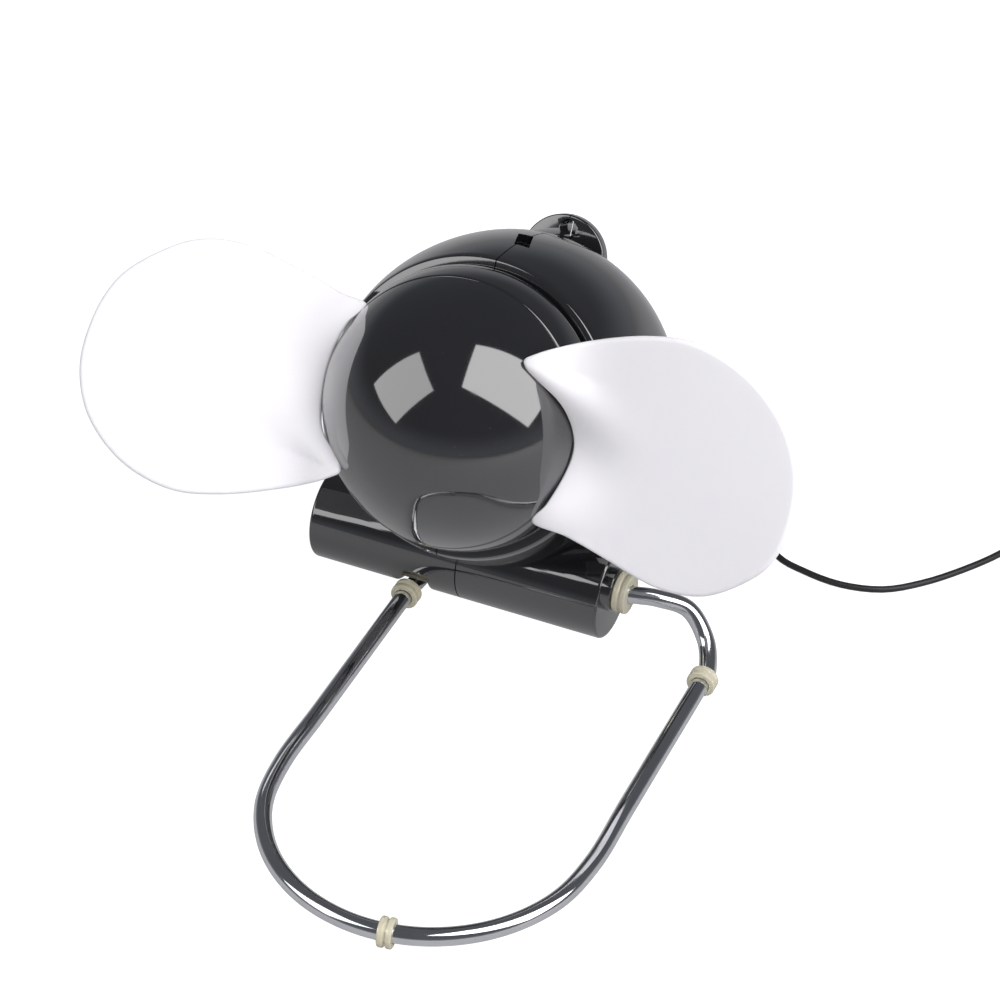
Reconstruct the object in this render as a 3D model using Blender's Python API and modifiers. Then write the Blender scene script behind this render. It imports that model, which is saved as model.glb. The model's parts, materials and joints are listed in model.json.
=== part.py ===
"""Small USB desk fan: a ball head with two soft foam blades, on a folding wire stand.

Units here are millimetres, turned into metres by MM. World +Z is up, the fan faces -Y,
and the origin is on the table under the middle of the whole fan. The fan frame has its
origin at the centre of the front dome, +Z along the fan's axis (towards the front) and
+X as in the world, so most of the head is written in that frame.
"""

import math

import bmesh
import bpy
from mathutils import Matrix, Vector

MM = 0.001
GAP = 0.3                 # clearance between touching pieces
RUN = 0.5                 # running clearance of turning pieces
CUT = 1.0                 # how far a cutter passes a face

# Head: placing and tilt of the fan axis
TILT = 28.8               # degrees above the horizontal
HEAD_Y = -6.1             # dome centre, before the whole is centred on the origin
HEAD_Z = 55.3

# Spinner
DOME_R = 31.7
WALL = 1.8
SEAM_Z = 11.6             # plane between front dome and rear cup
CUP_REAR_Z = 2.2
HUB_R = 4.6
HUB_FRONT_Z = 17.0
HUB_REAR_Z = 3.6

# Blades
BLADE_T = 1.6
BLADE_CONE = 0.1865       # forward rise per mm outwards
BLADE_PITCH = 0.2466      # forward rise per mm across
BLADE_AT = (33.8, 13.4)   # a point of the blade's mid plane: radius, height along the axis
BLADE_OUTLINE = [         # radius, across
    (22.0, 19.6), (38.2, 26.8), (52.0, 30.2), (64.0, 28.5), (74.5, 22.4), (80.6, 12.5),
    (82.8, 1.5), (79.9, -10.5), (71.5, -20.2), (58.0, -24.6), (42.5, -22.0), (24.0, -18.0),
]
TAB_W = 22.0
TAB_IN = 17.0             # radius where the root tab ends

# Motor, a small can motor
SHAFT_R = 1.0
MOTOR_R = 12.2
MOTOR_FRONT_Z = -5.0
MOTOR_LEN = 25.0
CAN_WALL = 1.0
CAP_LEN = 5.0
NOSE_R = 3.0
NOSE_LEN = 1.8
BEARING_R = 2.6
BEARING_LEN = 2.4
CORE_R = 7.6
CORE_LEN = 12.0
MAGNET_T = 2.4
MAGNET_LEN = 16.0
COMMUTATOR_R = 2.4
COMMUTATOR_LEN = 3.2

# Housing: an egg of revolution about the fan axis, split left and right
EGG_R = 38.2
EGG_MID_Z = -27.2         # where it is widest
EGG_FRONT = 56.9          # half length of its long front part
EGG_REAR = 38.2           # and of its round rear part
RIM_Z = 0.4
SHELL = 2.2
PLATE_T = 2.0
PLATE_Z = -3.0            # front face of the motor plate
PLATE_R = 31.4
LEDGE = 2.6               # how far the rear ledge holds the plate's edge
LIP = 1.0                 # and the front lip
SPLIT = 0.15              # each half stops this far from the mid plane

# Barrel under the head, along X
BARREL_R = 11.1
BARREL_LEFT = -37.3
BARREL_RIGHT = 34.6
BARREL_Y = -1.7
BARREL_Z = 11.3
BARREL_WALL = 2.2

# Bore of the stand in the barrel
BORE_Y = -5.7
BORE_Z = 15.5
BOSS_R = 5.0
BOSS_LEN = 2.3
BUSH_R = 4.7
BUSH_LEN = 3.0

# Wire stand
WIRE_R = 2.0
LOOP_X = 24.5             # middle of the loop
LOOP_W = 73.0             # between the legs
LOOP_FRONT_Y = -112.3
RING_R = 3.5              # foot rings, which carry the stand on the table
RING_LEN = 3.4
RING_Y = -13.4
FRONT_RING_TURN = 9.6     # degrees round the loop from its front
SLOT_W = 17.0
SLOT_TOP_Z = 8.6
SLOT_REAR_Y = 5.5
PIN_RIGHT_X = 17.0        # inner ends of the wire
PIN_LEFT_X = 15.6
RIB_T = 1.6

# Ear and latch at the top of the housing
EAR_Z = -44.0
EAR_T = 3.2
EAR_R = 10.2
EAR_W = 31.7
EAR_HOLE_W = 38.9
EAR_HOLE_R = 2.0
WINDOW_Z = -17.0
WINDOW_W = 4.4
WINDOW_LEN = 6.0

# Case screws and bosses, on the left side
SCREW_AT = [(-20.0, -44.0), (18.0, -50.0)]
SCREW_R = 1.3
SCREW_HEAD_R = 2.5
SCREW_LEN = 10.0
BOSS_WALL = 1.9

# Cable
CABLE_R = 0.8
CABLE_TABLE_Z = 1.0
COIL_R = 9.6              # middle of the coil's turns
COIL_TURNS_W = 4          # turns side by side, and as many on each other
COIL_AT = (124.5, 86.0)
PLUG_BODY = (25.0, 15.6, 8.0)
PLUG_SHELL = (15.0, 12.0, 4.5)
PLUG_TONGUE = (12.0, 9.6, 1.8)
PLUG_FROM_COIL = (13.4, -31.0)   # where the cable enters the plug, from the coil's centre
PLUG_TURN = -88.0         # degrees, the way that the plug points
RELIEF_R = 2.6
RELIEF_LEN = 9.0

REAR_Z = EGG_MID_Z - EGG_REAR
EGG_REAR_Y = HEAD_Y - EGG_MID_Z * math.cos(math.radians(TILT)) + EGG_REAR
FRONT_Y = LOOP_FRONT_Y + LOOP_W / 2 * (1 - math.cos(math.radians(FRONT_RING_TURN))) - RING_R
CENTRE_Y = (FRONT_Y + EGG_REAR_Y) / 2

ORIGIN = Vector((0, -CENTRE_Y, 0))
HEAD = Matrix.Translation((Vector((0, HEAD_Y, HEAD_Z)) + ORIGIN) * MM) @ Matrix.Rotation(
    math.radians(90 - TILT), 4, "X")
BORE = (Vector((0, BORE_Y, BORE_Z)) + ORIGIN) * MM


# ---------------------------------------------------------------- helpers

def clear_scene():
    """Remove every object and its data, and make the two collections."""
    for obj in list(bpy.data.objects):
        bpy.data.objects.remove(obj, do_unlink=True)
    made = []
    for name in ("desk_fan", "cutters"):
        group = bpy.data.collections.new(name)
        bpy.context.scene.collection.children.link(group)
        made.append(group)
    return made


def material(name, colour, roughness, metallic=0.0, alpha=1.0):
    """A Principled material with one colour."""
    made = bpy.data.materials.new(name)
    made.use_nodes = True
    shader = made.node_tree.nodes["Principled BSDF"]
    shader.inputs["Base Color"].default_value = (*colour, 1.0)
    shader.inputs["Roughness"].default_value = roughness
    shader.inputs["Metallic"].default_value = metallic
    shader.inputs["Alpha"].default_value = alpha
    return made


def link(obj, group):
    group.objects.link(obj)
    if group is CUTTERS:
        obj.hide_render = True
        obj.display_type = "WIRE"
    return obj


def mesh_object(name, mesh, group, place=None):
    obj = link(bpy.data.objects.new(name, mesh), group)
    if place is not None:
        obj.matrix_world = place
    return obj


def finish(obj, name):
    """Give a part its own material and smooth shading."""
    obj.data.materials.clear()
    obj.data.materials.append(material(obj.name, *FINISHES[name]))
    if obj.type == "MESH":
        obj.data.shade_smooth()
        obj.data.set_sharp_from_angle(angle=math.radians(35))
    return obj


def apply_modifiers(obj):
    """Replace an object's mesh by its evaluated one, and drop the modifiers."""
    bpy.context.view_layer.update()
    graph = bpy.context.evaluated_depsgraph_get()
    mesh = bpy.data.meshes.new_from_object(obj.evaluated_get(graph))
    obj.modifiers.clear()
    obj.data = mesh
    return obj


def boolean(obj, other, operation):
    step = obj.modifiers.new(operation.lower(), "BOOLEAN")
    step.operation = operation
    step.object = other
    step.solver = "EXACT"
    apply_modifiers(obj)
    return obj


def cut(obj, *others):
    for other in others:
        boolean(obj, other, "DIFFERENCE")
    return obj


def join(obj, *others):
    for other in others:
        boolean(obj, other, "UNION")
    return obj


def turned(name, profile, group, steps=40, place=HEAD):
    """A solid turned about local Z from (radius, height) points, running up the outside."""
    mesh = bpy.data.meshes.new(name)
    points = [Vector((r, 0, z)) * MM for r, z in profile]
    edges = [(i, (i + 1) % len(points)) for i in range(len(points))]
    if profile[0][0] == 0 and profile[-1][0] == 0:
        edges.pop()
    mesh.from_pydata(points, edges, [])
    obj = mesh_object(name, mesh, group, place)
    screw = obj.modifiers.new("turn", "SCREW")
    screw.steps = steps
    screw.render_steps = steps
    screw.use_merge_vertices = True
    screw.merge_threshold = 0.00001
    apply_modifiers(obj)
    form = bmesh.new()
    form.from_mesh(obj.data)
    bmesh.ops.remove_doubles(form, verts=form.verts, dist=0.00001)
    bmesh.ops.recalc_face_normals(form, faces=form.faces)
    form.to_mesh(obj.data)
    form.free()
    return obj


def cylinder(name, radius, start, end, group, place=None, steps=32, axis="X"):
    """A round bar between two (x, y, z) points."""
    form = bmesh.new()
    a, b = Vector(start) * MM, Vector(end) * MM
    bmesh.ops.create_cone(form, cap_ends=True, segments=steps, radius1=radius * MM,
                          radius2=radius * MM, depth=(b - a).length)
    turn = Vector((0, 0, 1)).rotation_difference(b - a).to_matrix().to_4x4()
    bmesh.ops.transform(form, matrix=Matrix.Translation((a + b) / 2) @ turn, verts=form.verts)
    mesh = bpy.data.meshes.new(name)
    form.to_mesh(mesh)
    form.free()
    return mesh_object(name, mesh, group, place)


def block(name, low, high, group, place=None):
    """A box between two opposite corners."""
    form = bmesh.new()
    bmesh.ops.create_cube(form, size=1.0)
    low, high = Vector(low) * MM, Vector(high) * MM
    size = high - low
    bmesh.ops.transform(form, matrix=Matrix.Translation((low + high) / 2) @ Matrix.Diagonal(
        (*size, 1.0)), verts=form.verts)
    mesh = bpy.data.meshes.new(name)
    form.to_mesh(mesh)
    form.free()
    return mesh_object(name, mesh, group, place)


def smooth_points(points, per_span, closed=False):
    """Points of a Catmull-Rom curve through the given ones."""
    points = [Vector(p) for p in points]
    count = len(points)
    made = []
    for i in range(count if closed else count - 1):
        if closed:
            p0, p1, p2, p3 = (points[(i + k) % count] for k in (-1, 0, 1, 2))
        else:
            p1, p2 = points[i], points[i + 1]
            p0 = points[i - 1] if i else p1 * 2 - p2
            p3 = points[i + 2] if i + 2 < count else p2 * 2 - p1
        for k in range(per_span):
            t = k / per_span
            made.append(0.5 * (2 * p1 + (p2 - p0) * t + (2 * p0 - 5 * p1 + 4 * p2 - p3) * t * t
                               + (3 * p1 - p0 - 3 * p2 + p3) * t ** 3))
    if not closed:
        made.append(points[-1])
    return made


def tube(name, points, radius, group, sides=2, place=None):
    """A round wire along points, with filled caps."""
    curve = bpy.data.curves.new(name, "CURVE")
    curve.dimensions = "3D"
    curve.bevel_depth = radius * MM
    curve.bevel_resolution = sides
    curve.use_fill_caps = True
    line = curve.splines.new("POLY")
    line.points.add(len(points) - 1)
    for target, point in zip(line.points, points):
        target.co = (*(Vector(point) * MM), 1.0)
    return mesh_object(name, curve, group, place)


def ring(name, outer, inner, length, centre, direction, group, steps=20):
    """A short round sleeve with softened edges, about a line through a point."""
    soft = 0.4
    half = length / 2
    profile = [(inner, -half), (outer - soft, -half), (outer, -half + soft),
               (outer, half - soft), (outer - soft, half), (inner, half)]
    turn = Vector((0, 0, 1)).rotation_difference(Vector(direction)).to_matrix().to_4x4()
    return turned(name, profile, group, steps, Matrix.Translation(Vector(centre) * MM) @ turn)


def world(x, y, z):
    """A point of the layout, moved so that the fan's middle is at the origin."""
    return Vector((x, y, z)) + ORIGIN


# ---------------------------------------------------------------- spinner

def sphere_r(z, radius):
    return math.sqrt(max(radius * radius - z * z, 0.0))


def arc(radius, low_z, high_z, count):
    """(radius, height) points on a sphere, from one height to another."""
    a0, a1 = math.asin(low_z / radius), math.asin(min(high_z / radius, 1.0))
    return [(radius * math.cos(a0 + (a1 - a0) * i / count), radius * math.sin(a0 + (a1 - a0) * i / count))
            for i in range(count + 1)]


def front_dome():
    """Front cap of the ball, with a stem that meets the hub."""
    inner = DOME_R - WALL
    outside = arc(DOME_R, SEAM_Z, DOME_R, 8)
    outside[-1] = (0.0, DOME_R)
    stem = HUB_R
    meet = sphere_r(stem, inner)
    inside = [(r, z) for r, z in reversed(arc(inner, SEAM_Z, meet, 5))]
    profile = outside + [(0.0, HUB_FRONT_Z + GAP), (stem, HUB_FRONT_Z + GAP)] + inside
    return turned("front_dome", profile, PARTS)


def rear_cup():
    """Rear band and disc of the spinner, with a socket on the hub."""
    top = SEAM_Z - GAP
    inner = DOME_R - WALL
    outside = arc(DOME_R, CUP_REAR_Z, top, 3)
    inside = list(reversed(arc(inner, CUP_REAR_Z + WALL, top, 2)))
    bore = HUB_R + GAP
    profile = ([(bore, CUP_REAR_Z)] + outside + inside
               + [(bore + WALL, CUP_REAR_Z + WALL), (bore + WALL, top), (bore, top)])
    return turned("rear_cup", profile, PARTS)


def hub_core():
    """Metal hub pressed on the shaft."""
    bore = SHAFT_R + GAP
    foot = HUB_R + WALL
    profile = [(bore, CUP_REAR_Z - WALL - GAP), (foot, CUP_REAR_Z - WALL - GAP),
               (foot, CUP_REAR_Z - GAP), (HUB_R, CUP_REAR_Z - GAP), (HUB_R, HUB_FRONT_Z),
               (bore, HUB_FRONT_Z)]
    return turned("hub_core", profile, PARTS, 20)


def blade_frame(side):
    """Matrix of a blade's own plane: X outwards, Y across, Z through the sheet."""
    out = Vector((1, 0, BLADE_CONE)).normalized()
    normal = Vector((-BLADE_CONE, -BLADE_PITCH, 1)).normalized()
    across = normal.cross(out)
    turn = Matrix((out, across, normal)).transposed().to_4x4()
    at = Matrix.Translation(Vector((BLADE_AT[0], 0, BLADE_AT[1])) * MM)
    return HEAD @ Matrix.Rotation(math.pi * side, 4, "Z") @ at @ turn


def in_blade_plane(point):
    """A (radius, across) point as seen along the axis, in the blade's own plane."""
    r, w = point
    lift = BLADE_CONE * (r - BLADE_AT[0]) + BLADE_PITCH * w
    offset = Vector((r - BLADE_AT[0], w, lift))
    out = Vector((1, 0, BLADE_CONE)).normalized()
    normal = Vector((-BLADE_CONE, -BLADE_PITCH, 1)).normalized()
    return Vector((offset.dot(out), offset.dot(normal.cross(out)), 0))


def plate_from(name, outline, thickness, group, place):
    """A flat sheet with a closed outline, as a mesh."""
    curve = bpy.data.curves.new(name, "CURVE")
    curve.dimensions = "2D"
    curve.fill_mode = "BOTH"
    curve.extrude = thickness / 2 * MM
    line = curve.splines.new("POLY")
    line.points.add(len(outline) - 1)
    for target, point in zip(line.points, outline):
        target.co = (*(Vector(point) * MM), 1.0)
    line.use_cyclic_u = True
    guide = bpy.data.objects.new(name + "_outline", curve)
    CUTTERS.objects.link(guide)
    bpy.context.view_layer.update()
    graph = bpy.context.evaluated_depsgraph_get()
    mesh = bpy.data.meshes.new_from_object(guide.evaluated_get(graph))
    bpy.data.objects.remove(guide, do_unlink=True)
    form = bmesh.new()
    form.from_mesh(mesh)
    bmesh.ops.remove_doubles(form, verts=form.verts, dist=0.000001)
    bmesh.ops.recalc_face_normals(form, faces=form.faces)
    form.to_mesh(mesh)
    form.free()
    return mesh_object(name, mesh, group, place)


def ball_cutter(name, radius):
    form = bmesh.new()
    bmesh.ops.create_uvsphere(form, u_segments=64, v_segments=32, radius=radius * MM)
    mesh = bpy.data.meshes.new(name)
    form.to_mesh(mesh)
    form.free()
    return mesh_object(name, mesh, CUTTERS, HEAD)


def blades(dome, cup):
    """The two foam blades, and the slots for their root tabs in the spinner."""
    ball = ball_cutter("blade_root_ball", DOME_R + GAP + 0.1)
    curve = [(p.x, p.y) for p in smooth_points([Vector((*p, 0)) for p in BLADE_OUTLINE], 4)]
    outline = [in_blade_plane(p) for p in curve]
    made = []
    for side in (0, 1):
        place = blade_frame(side)
        name = f"blade_{side + 1}"
        blade = plate_from(name, outline, BLADE_T, PARTS, place)
        cut(blade, ball)
        outer = DOME_R + 4.0 - BLADE_AT[0]
        inner = TAB_IN - BLADE_AT[0]
        tab = block(name + "_tab", (inner, -TAB_W / 2, -BLADE_T / 2),
                    (outer, TAB_W / 2, BLADE_T / 2), CUTTERS, place)
        join(blade, tab)
        slot = block(name + "_slot", (inner - GAP, -TAB_W / 2 - GAP, -BLADE_T / 2 - GAP),
                     (outer, TAB_W / 2 + GAP, BLADE_T / 2 + GAP), CUTTERS, place)
        cut(dome, slot)
        cut(cup, slot)
        made.append(blade)
    return made


# ---------------------------------------------------------------- motor

def motor():
    """The can motor: case, end cap, magnets, armature, shaft, bearings and terminals."""
    front, rear = MOTOR_FRONT_Z, MOTOR_FRONT_Z - MOTOR_LEN
    cap_face = rear + CAP_LEN
    bore = BEARING_R + GAP
    can = [(bore, front + NOSE_LEN), (bore, front - CAN_WALL), (MOTOR_R - CAN_WALL, front - CAN_WALL),
           (MOTOR_R - CAN_WALL, cap_face + GAP), (MOTOR_R, cap_face + GAP), (MOTOR_R, front),
           (NOSE_R + 0.6, front), (NOSE_R + 0.6, front + NOSE_LEN)]
    made = [turned("motor_can", can, PARTS, 28)]
    cap = [(bore, rear), (bore, rear + 3.4), (NOSE_R + 2.0, rear + 3.4), (NOSE_R + 2.0, cap_face),
           (MOTOR_R, cap_face), (MOTOR_R, rear + 1.6), (MOTOR_R - 1.2, rear)]
    made.append(turned("motor_end_cap", cap, PARTS, 28))
    for name, low in (("bearing_front", front + NOSE_LEN - BEARING_LEN - 0.1),
                      ("bearing_rear", rear + 0.5)):
        inside = SHAFT_R + GAP
        profile = [(inside, low), (BEARING_R, low), (BEARING_R, low + BEARING_LEN),
                   (inside, low + BEARING_LEN)]
        made.append(turned(name, profile, PARTS, 16))
    made.append(cylinder("motor_shaft", SHAFT_R, (0, 0, rear + 0.2), (0, 0, HUB_FRONT_Z - 1), PARTS,
                         HEAD, 20))
    mid = front - CAN_WALL - 2.4 - CORE_LEN / 2
    made.append(armature(mid))
    inside = SHAFT_R + GAP
    low = mid - CORE_LEN / 2 - 0.8 - COMMUTATOR_LEN
    made.append(turned("commutator", [(inside, low), (COMMUTATOR_R, low), (COMMUTATOR_R, low + COMMUTATOR_LEN),
                                      (inside, low + COMMUTATOR_LEN)], PARTS, 24))
    made += magnets(mid)
    made += terminals(rear)
    return made


def armature(mid):
    """Laminated core with three winding slots."""
    inside = SHAFT_R + GAP
    low, high = mid - CORE_LEN / 2, mid + CORE_LEN / 2
    core = turned("armature", [(inside, low), (CORE_R, low), (CORE_R, high), (inside, high)], PARTS, 36)
    for i in range(3):
        place = HEAD @ Matrix.Rotation(math.radians(90 + 120 * i), 4, "Z")
        slot = block(f"winding_slot_{i + 1}", (CORE_R - 3.6, -1.3, low - CUT),
                     (CORE_R + CUT, 1.3, high + CUT), CUTTERS, place)
        cut(core, slot)
    return core


def magnets(mid):
    """Two curved magnets against the can."""
    made = []
    outer = MOTOR_R - CAN_WALL - GAP
    low, high = mid - MAGNET_LEN / 2, mid + MAGNET_LEN / 2
    for side in (0, 1):
        shell = turned(f"magnet_{side + 1}", [(outer - MAGNET_T, low), (outer, low), (outer, high),
                                              (outer - MAGNET_T, high)], PARTS, 28)
        sign = -1 if side else 1
        keep = block(f"magnet_span_{side + 1}", (sign * 4.5, -15, low - CUT) if side == 0 else
                     (-15, -15, low - CUT), (15, 15, high + CUT) if side == 0 else
                     (-4.5, 15, high + CUT), CUTTERS, HEAD)
        boolean(shell, keep, "INTERSECT")
        made.append(shell)
    return made


def terminals(rear):
    """Two solder tags on the motor's end cap."""
    made = []
    for side in (-1, 1):
        x = side * 7.0
        made.append(block(f"terminal_{1 if side < 0 else 2}", (x - 1.2, -0.4, rear - 3.6),
                          (x + 1.2, 0.4, rear - GAP), PARTS, HEAD))
    return made


def motor_plate(can):
    """Front plate that carries the motor, held in a groove inside the housing's rim."""
    hole = NOSE_R + 0.6 + GAP
    top, low = PLATE_Z, PLATE_Z - PLATE_T + GAP
    plate = turned("motor_plate", [(hole, low), (PLATE_R, low), (PLATE_R, top), (hole, top)], PARTS, 36)
    made = [plate]
    for i, side in enumerate((-1, 1)):
        x = side * 8.0
        hole = cylinder(f"plate_hole_{i + 1}", SCREW_R + GAP, (x, 0, MOTOR_FRONT_Z - CAN_WALL - 0.5),
                        (x, 0, top + CUT), CUTTERS, HEAD, 20)
        cut(plate, hole)
        cut(can, hole)
        made.append(screw(f"motor_screw_{i + 1}", HEAD @ Matrix.Translation(Vector((x, 0, top + GAP)) * MM),
                          SCREW_R, 2.3, 1.3, PLATE_T + GAP, CAN_WALL - 0.2))
    return made


def screw(name, place, radius, head_r, head_h, length, tip):
    """A pan-head screw: local Z out of the head, origin under the head, with a cross recess."""
    deep = length + tip
    profile = [(0.0, -deep), (radius * 0.6, -deep), (radius, -deep + 0.6), (radius, 0.0), (head_r, 0.0),
               (head_r, head_h * 0.6), (head_r * 0.7, head_h), (0.0, head_h)]
    made = turned(name, profile, PARTS, 14, place)
    for i in (0, 1):
        arm = place @ Matrix.Rotation(math.pi / 2 * i, 4, "Z")
        cut(made, block(f"{name}_recess_{i}", (-head_r * 0.55, -0.3, head_h * 0.45),
                        (head_r * 0.55, 0.3, head_h + CUT), CUTTERS, arm))
    return made


# ---------------------------------------------------------------- housing

def egg_r(z, inset=0.0):
    """The egg's radius at a height along the axis, inside a wall of the inset's thickness."""
    half = (EGG_FRONT if z > EGG_MID_Z else EGG_REAR) - inset
    share = (z - EGG_MID_Z) / half
    return (EGG_R - inset) * math.sqrt(max(1 - share * share, 0.0))


def egg_profile(inset, front_z):
    """(radius, height) points of the egg from its rear pole to a height."""
    radius, half = EGG_R - inset, EGG_REAR - inset
    angles = [math.pi / 2 * (i / 8 - 1) for i in range(8)]
    points = [(radius * math.cos(a), EGG_MID_Z + half * math.sin(a)) for a in angles]
    points[0] = (0.0, points[0][1])
    for i in range(5):
        z = EGG_MID_Z + (front_z - EGG_MID_Z) * i / 4
        points.append((egg_r(z, inset), z))
    return points


def housing():
    """The two moulded halves: ball, barrel, ear, stand bore, ribs and screw bosses."""
    made = []
    for side, name in ((-1, "housing_left"), (1, "housing_right")):
        body = turned(name, egg_profile(0.0, RIM_Z) + [(0.0, RIM_Z)], PARTS, 40)
        join(body, barrel_solid(name), ear_solid(name))
        cut(body, *cavities(name))
        join(body, *inner_ribs(name, side))
        cut(body, *holes(name, side))
        trim_half(body, name, side)
        if side > 0:
            join(body, latch_hook())
        made.append(body)
    return made


def barrel_solid(name):
    low, high = BARREL_LEFT, BARREL_RIGHT
    soft = 1.0
    profile = [(0.0, low), (BARREL_R - soft, low), (BARREL_R, low + soft), (BARREL_R, high - soft),
               (BARREL_R - soft, high), (0.0, high)]
    place = Matrix.Translation(world(0, BARREL_Y, BARREL_Z) * MM) @ Matrix.Rotation(math.pi / 2, 4, "Y")
    return turned(name + "_barrel", profile, CUTTERS, 32, place)


def ear_solid(name):
    """The hanging ear, a rounded tab on the top of the head."""
    return cylinder(name + "_ear", EAR_R, (0, EAR_W, EAR_Z - EAR_T / 2), (0, EAR_W, EAR_Z + EAR_T / 2),
                    CUTTERS, HEAD, 40)


def cavities(name):
    """The hollow of the head with the plate's groove, open at the front, and that of the barrel."""
    ledge_z = PLATE_Z - PLATE_T
    groove_r = PLATE_R + GAP
    profile = egg_profile(SHELL, ledge_z - 1.6)
    profile += [(groove_r - LEDGE, ledge_z - 1.6), (groove_r - LEDGE, ledge_z), (groove_r, ledge_z),
                (groove_r, PLATE_Z + GAP), (groove_r - LIP, PLATE_Z + GAP), (groove_r - LIP, RIM_Z + CUT),
                (0.0, RIM_Z + CUT)]
    head = turned(name + "_hollow", profile, CUTTERS, 40)
    barrel = cylinder(name + "_barrel_hollow", BARREL_R - BARREL_WALL,
                      world(BARREL_LEFT + BARREL_WALL, BARREL_Y, BARREL_Z),
                      world(BARREL_RIGHT - BARREL_WALL, BARREL_Y, BARREL_Z), CUTTERS, None, 32)
    return head, barrel


def inner_ribs(name, side):
    """Ribs that guide the wire's ends, the boss round its right end, and the screw bosses."""
    made = []
    if side > 0:
        made.append(cylinder(name + "_boss", BOSS_R, world(BARREL_RIGHT - CUT, BORE_Y, BORE_Z),
                             world(BARREL_RIGHT + BOSS_LEN, BORE_Y, BORE_Z), CUTTERS, None, 32))
        for i, x in enumerate((PIN_LEFT_X - 1.4 - RIB_T, PIN_RIGHT_X + 3.0)):
            rib = cylinder(f"{name}_rib_{i}", BARREL_R - BARREL_WALL / 2, world(x, BARREL_Y, BARREL_Z),
                           world(x + RIB_T, BARREL_Y, BARREL_Z), CUTTERS, None, 28)
            made.append(rib)
    within = SHELL / 2
    skin = turned(name + "_skin", egg_profile(within, RIM_Z) + [(0.0, RIM_Z)], CUTTERS, 40)
    for i, (w, z) in enumerate(SCREW_AT):
        ends = ((-EGG_R, w, z), (0, w, z)) if side < 0 else ((0, w, z), (EGG_R, w, z))
        boss = cylinder(f"{name}_screw_boss_{i}", SCREW_HEAD_R + BOSS_WALL, *ends, CUTTERS, HEAD, 20)
        made.append(boolean(boss, skin, "INTERSECT"))
    return made


def holes(name, side):
    """Bore, slot, ear hole, screw holes, cable exit and the latch window."""
    made = [cylinder(name + "_ear_hole", EAR_HOLE_R, (0, EAR_HOLE_W, EAR_Z - 9), (0, EAR_HOLE_W, EAR_Z + 9),
                     CUTTERS, HEAD, 24),
            cylinder(name + "_cable_hole", RELIEF_R - 0.6 + GAP, (0, 0, REAR_Z - 5),
                     (0, 0, REAR_Z + SHELL + 5), CUTTERS, HEAD, 24)]
    if side > 0:
        made.append(cylinder(name + "_bore", WIRE_R + GAP, world(-CUT, BORE_Y, BORE_Z),
                             world(BARREL_RIGHT + BOSS_LEN + CUT, BORE_Y, BORE_Z), CUTTERS, None, 24))
    else:
        x = LOOP_X - LOOP_W / 2
        low = world(x - SLOT_W / 2, BARREL_Y - BARREL_R - CUT, BARREL_Z - BARREL_R - CUT)
        high = world(x + SLOT_W / 2, SLOT_REAR_Y, SLOT_TOP_Z)
        made.append(block(name + "_slot", low, high, CUTTERS))
        made.append(latch_window(name))
    for i, (w, z) in enumerate(SCREW_AT):
        seat = -SCREW_LEN * 0.4
        if side < 0:
            made.append(cylinder(f"{name}_screw_hole_{i}", SCREW_R + GAP, (seat - CUT, w, z), (CUT, w, z),
                                 CUTTERS, HEAD, 20))
            made.append(cylinder(f"{name}_screw_sink_{i}", SCREW_HEAD_R + GAP, (-60, w, z),
                                 (seat, w, z), CUTTERS, HEAD, 24))
        else:
            made.append(cylinder(f"{name}_screw_pilot_{i}", SCREW_R + GAP, (-CUT, w, z),
                                 (SCREW_LEN * 0.6 + 1.0, w, z), CUTTERS, HEAD, 20))
    return made


def latch_window(name):
    """A pocket through the left half's wall, beside the split, for the right half's catch."""
    half = WINDOW_LEN / 2
    return block(name + "_window", (-WINDOW_W, 25.0, WINDOW_Z - half), (CUT, 45.0, WINDOW_Z + half),
                 CUTTERS, HEAD)


def trim_half(body, name, side):
    """Keep one side of the split plane."""
    reach = 120.0
    low = (SPLIT, -reach, -reach) if side > 0 else (-reach, -reach, -reach)
    high = (reach, reach, reach * 2) if side > 0 else (-SPLIT, reach, reach * 2)
    boolean(body, block(name + "_side", low, high, CUTTERS), "INTERSECT")


def latch_hook():
    """The catch of the right half, seen in the left half's window."""
    half = WINDOW_LEN / 2 - GAP
    top = egg_r(WINDOW_Z + half) - 0.8
    return block("latch_hook", (-WINDOW_W + GAP, top - 1.0, WINDOW_Z - half), (2.0, top, WINDOW_Z + half),
                 CUTTERS, HEAD)


def case_screws():
    made = []
    for i, (w, z) in enumerate(SCREW_AT):
        place = HEAD @ Matrix.Translation(Vector((-SCREW_LEN * 0.4 - GAP, w, z)) * MM) @ Matrix.Rotation(
            -math.pi / 2, 4, "Y")
        made.append(screw(f"case_screw_{i + 1}", place, SCREW_R, SCREW_HEAD_R, 1.6, SCREW_LEN, 0.0))
    return made


# ---------------------------------------------------------------- stand

def corner(sign):
    """Layout points from the bore round a rear corner of the stand to its foot ring."""
    bend = [(21.5, 1.8, -0.5), (28.0, 4.5, -3.6), (33.3, 2.1, -8.9), (36.2, -3.8, -12.0)]
    return [(LOOP_X + sign * x, BORE_Y + y, BORE_Z + z) for x, y, z in bend]


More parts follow.
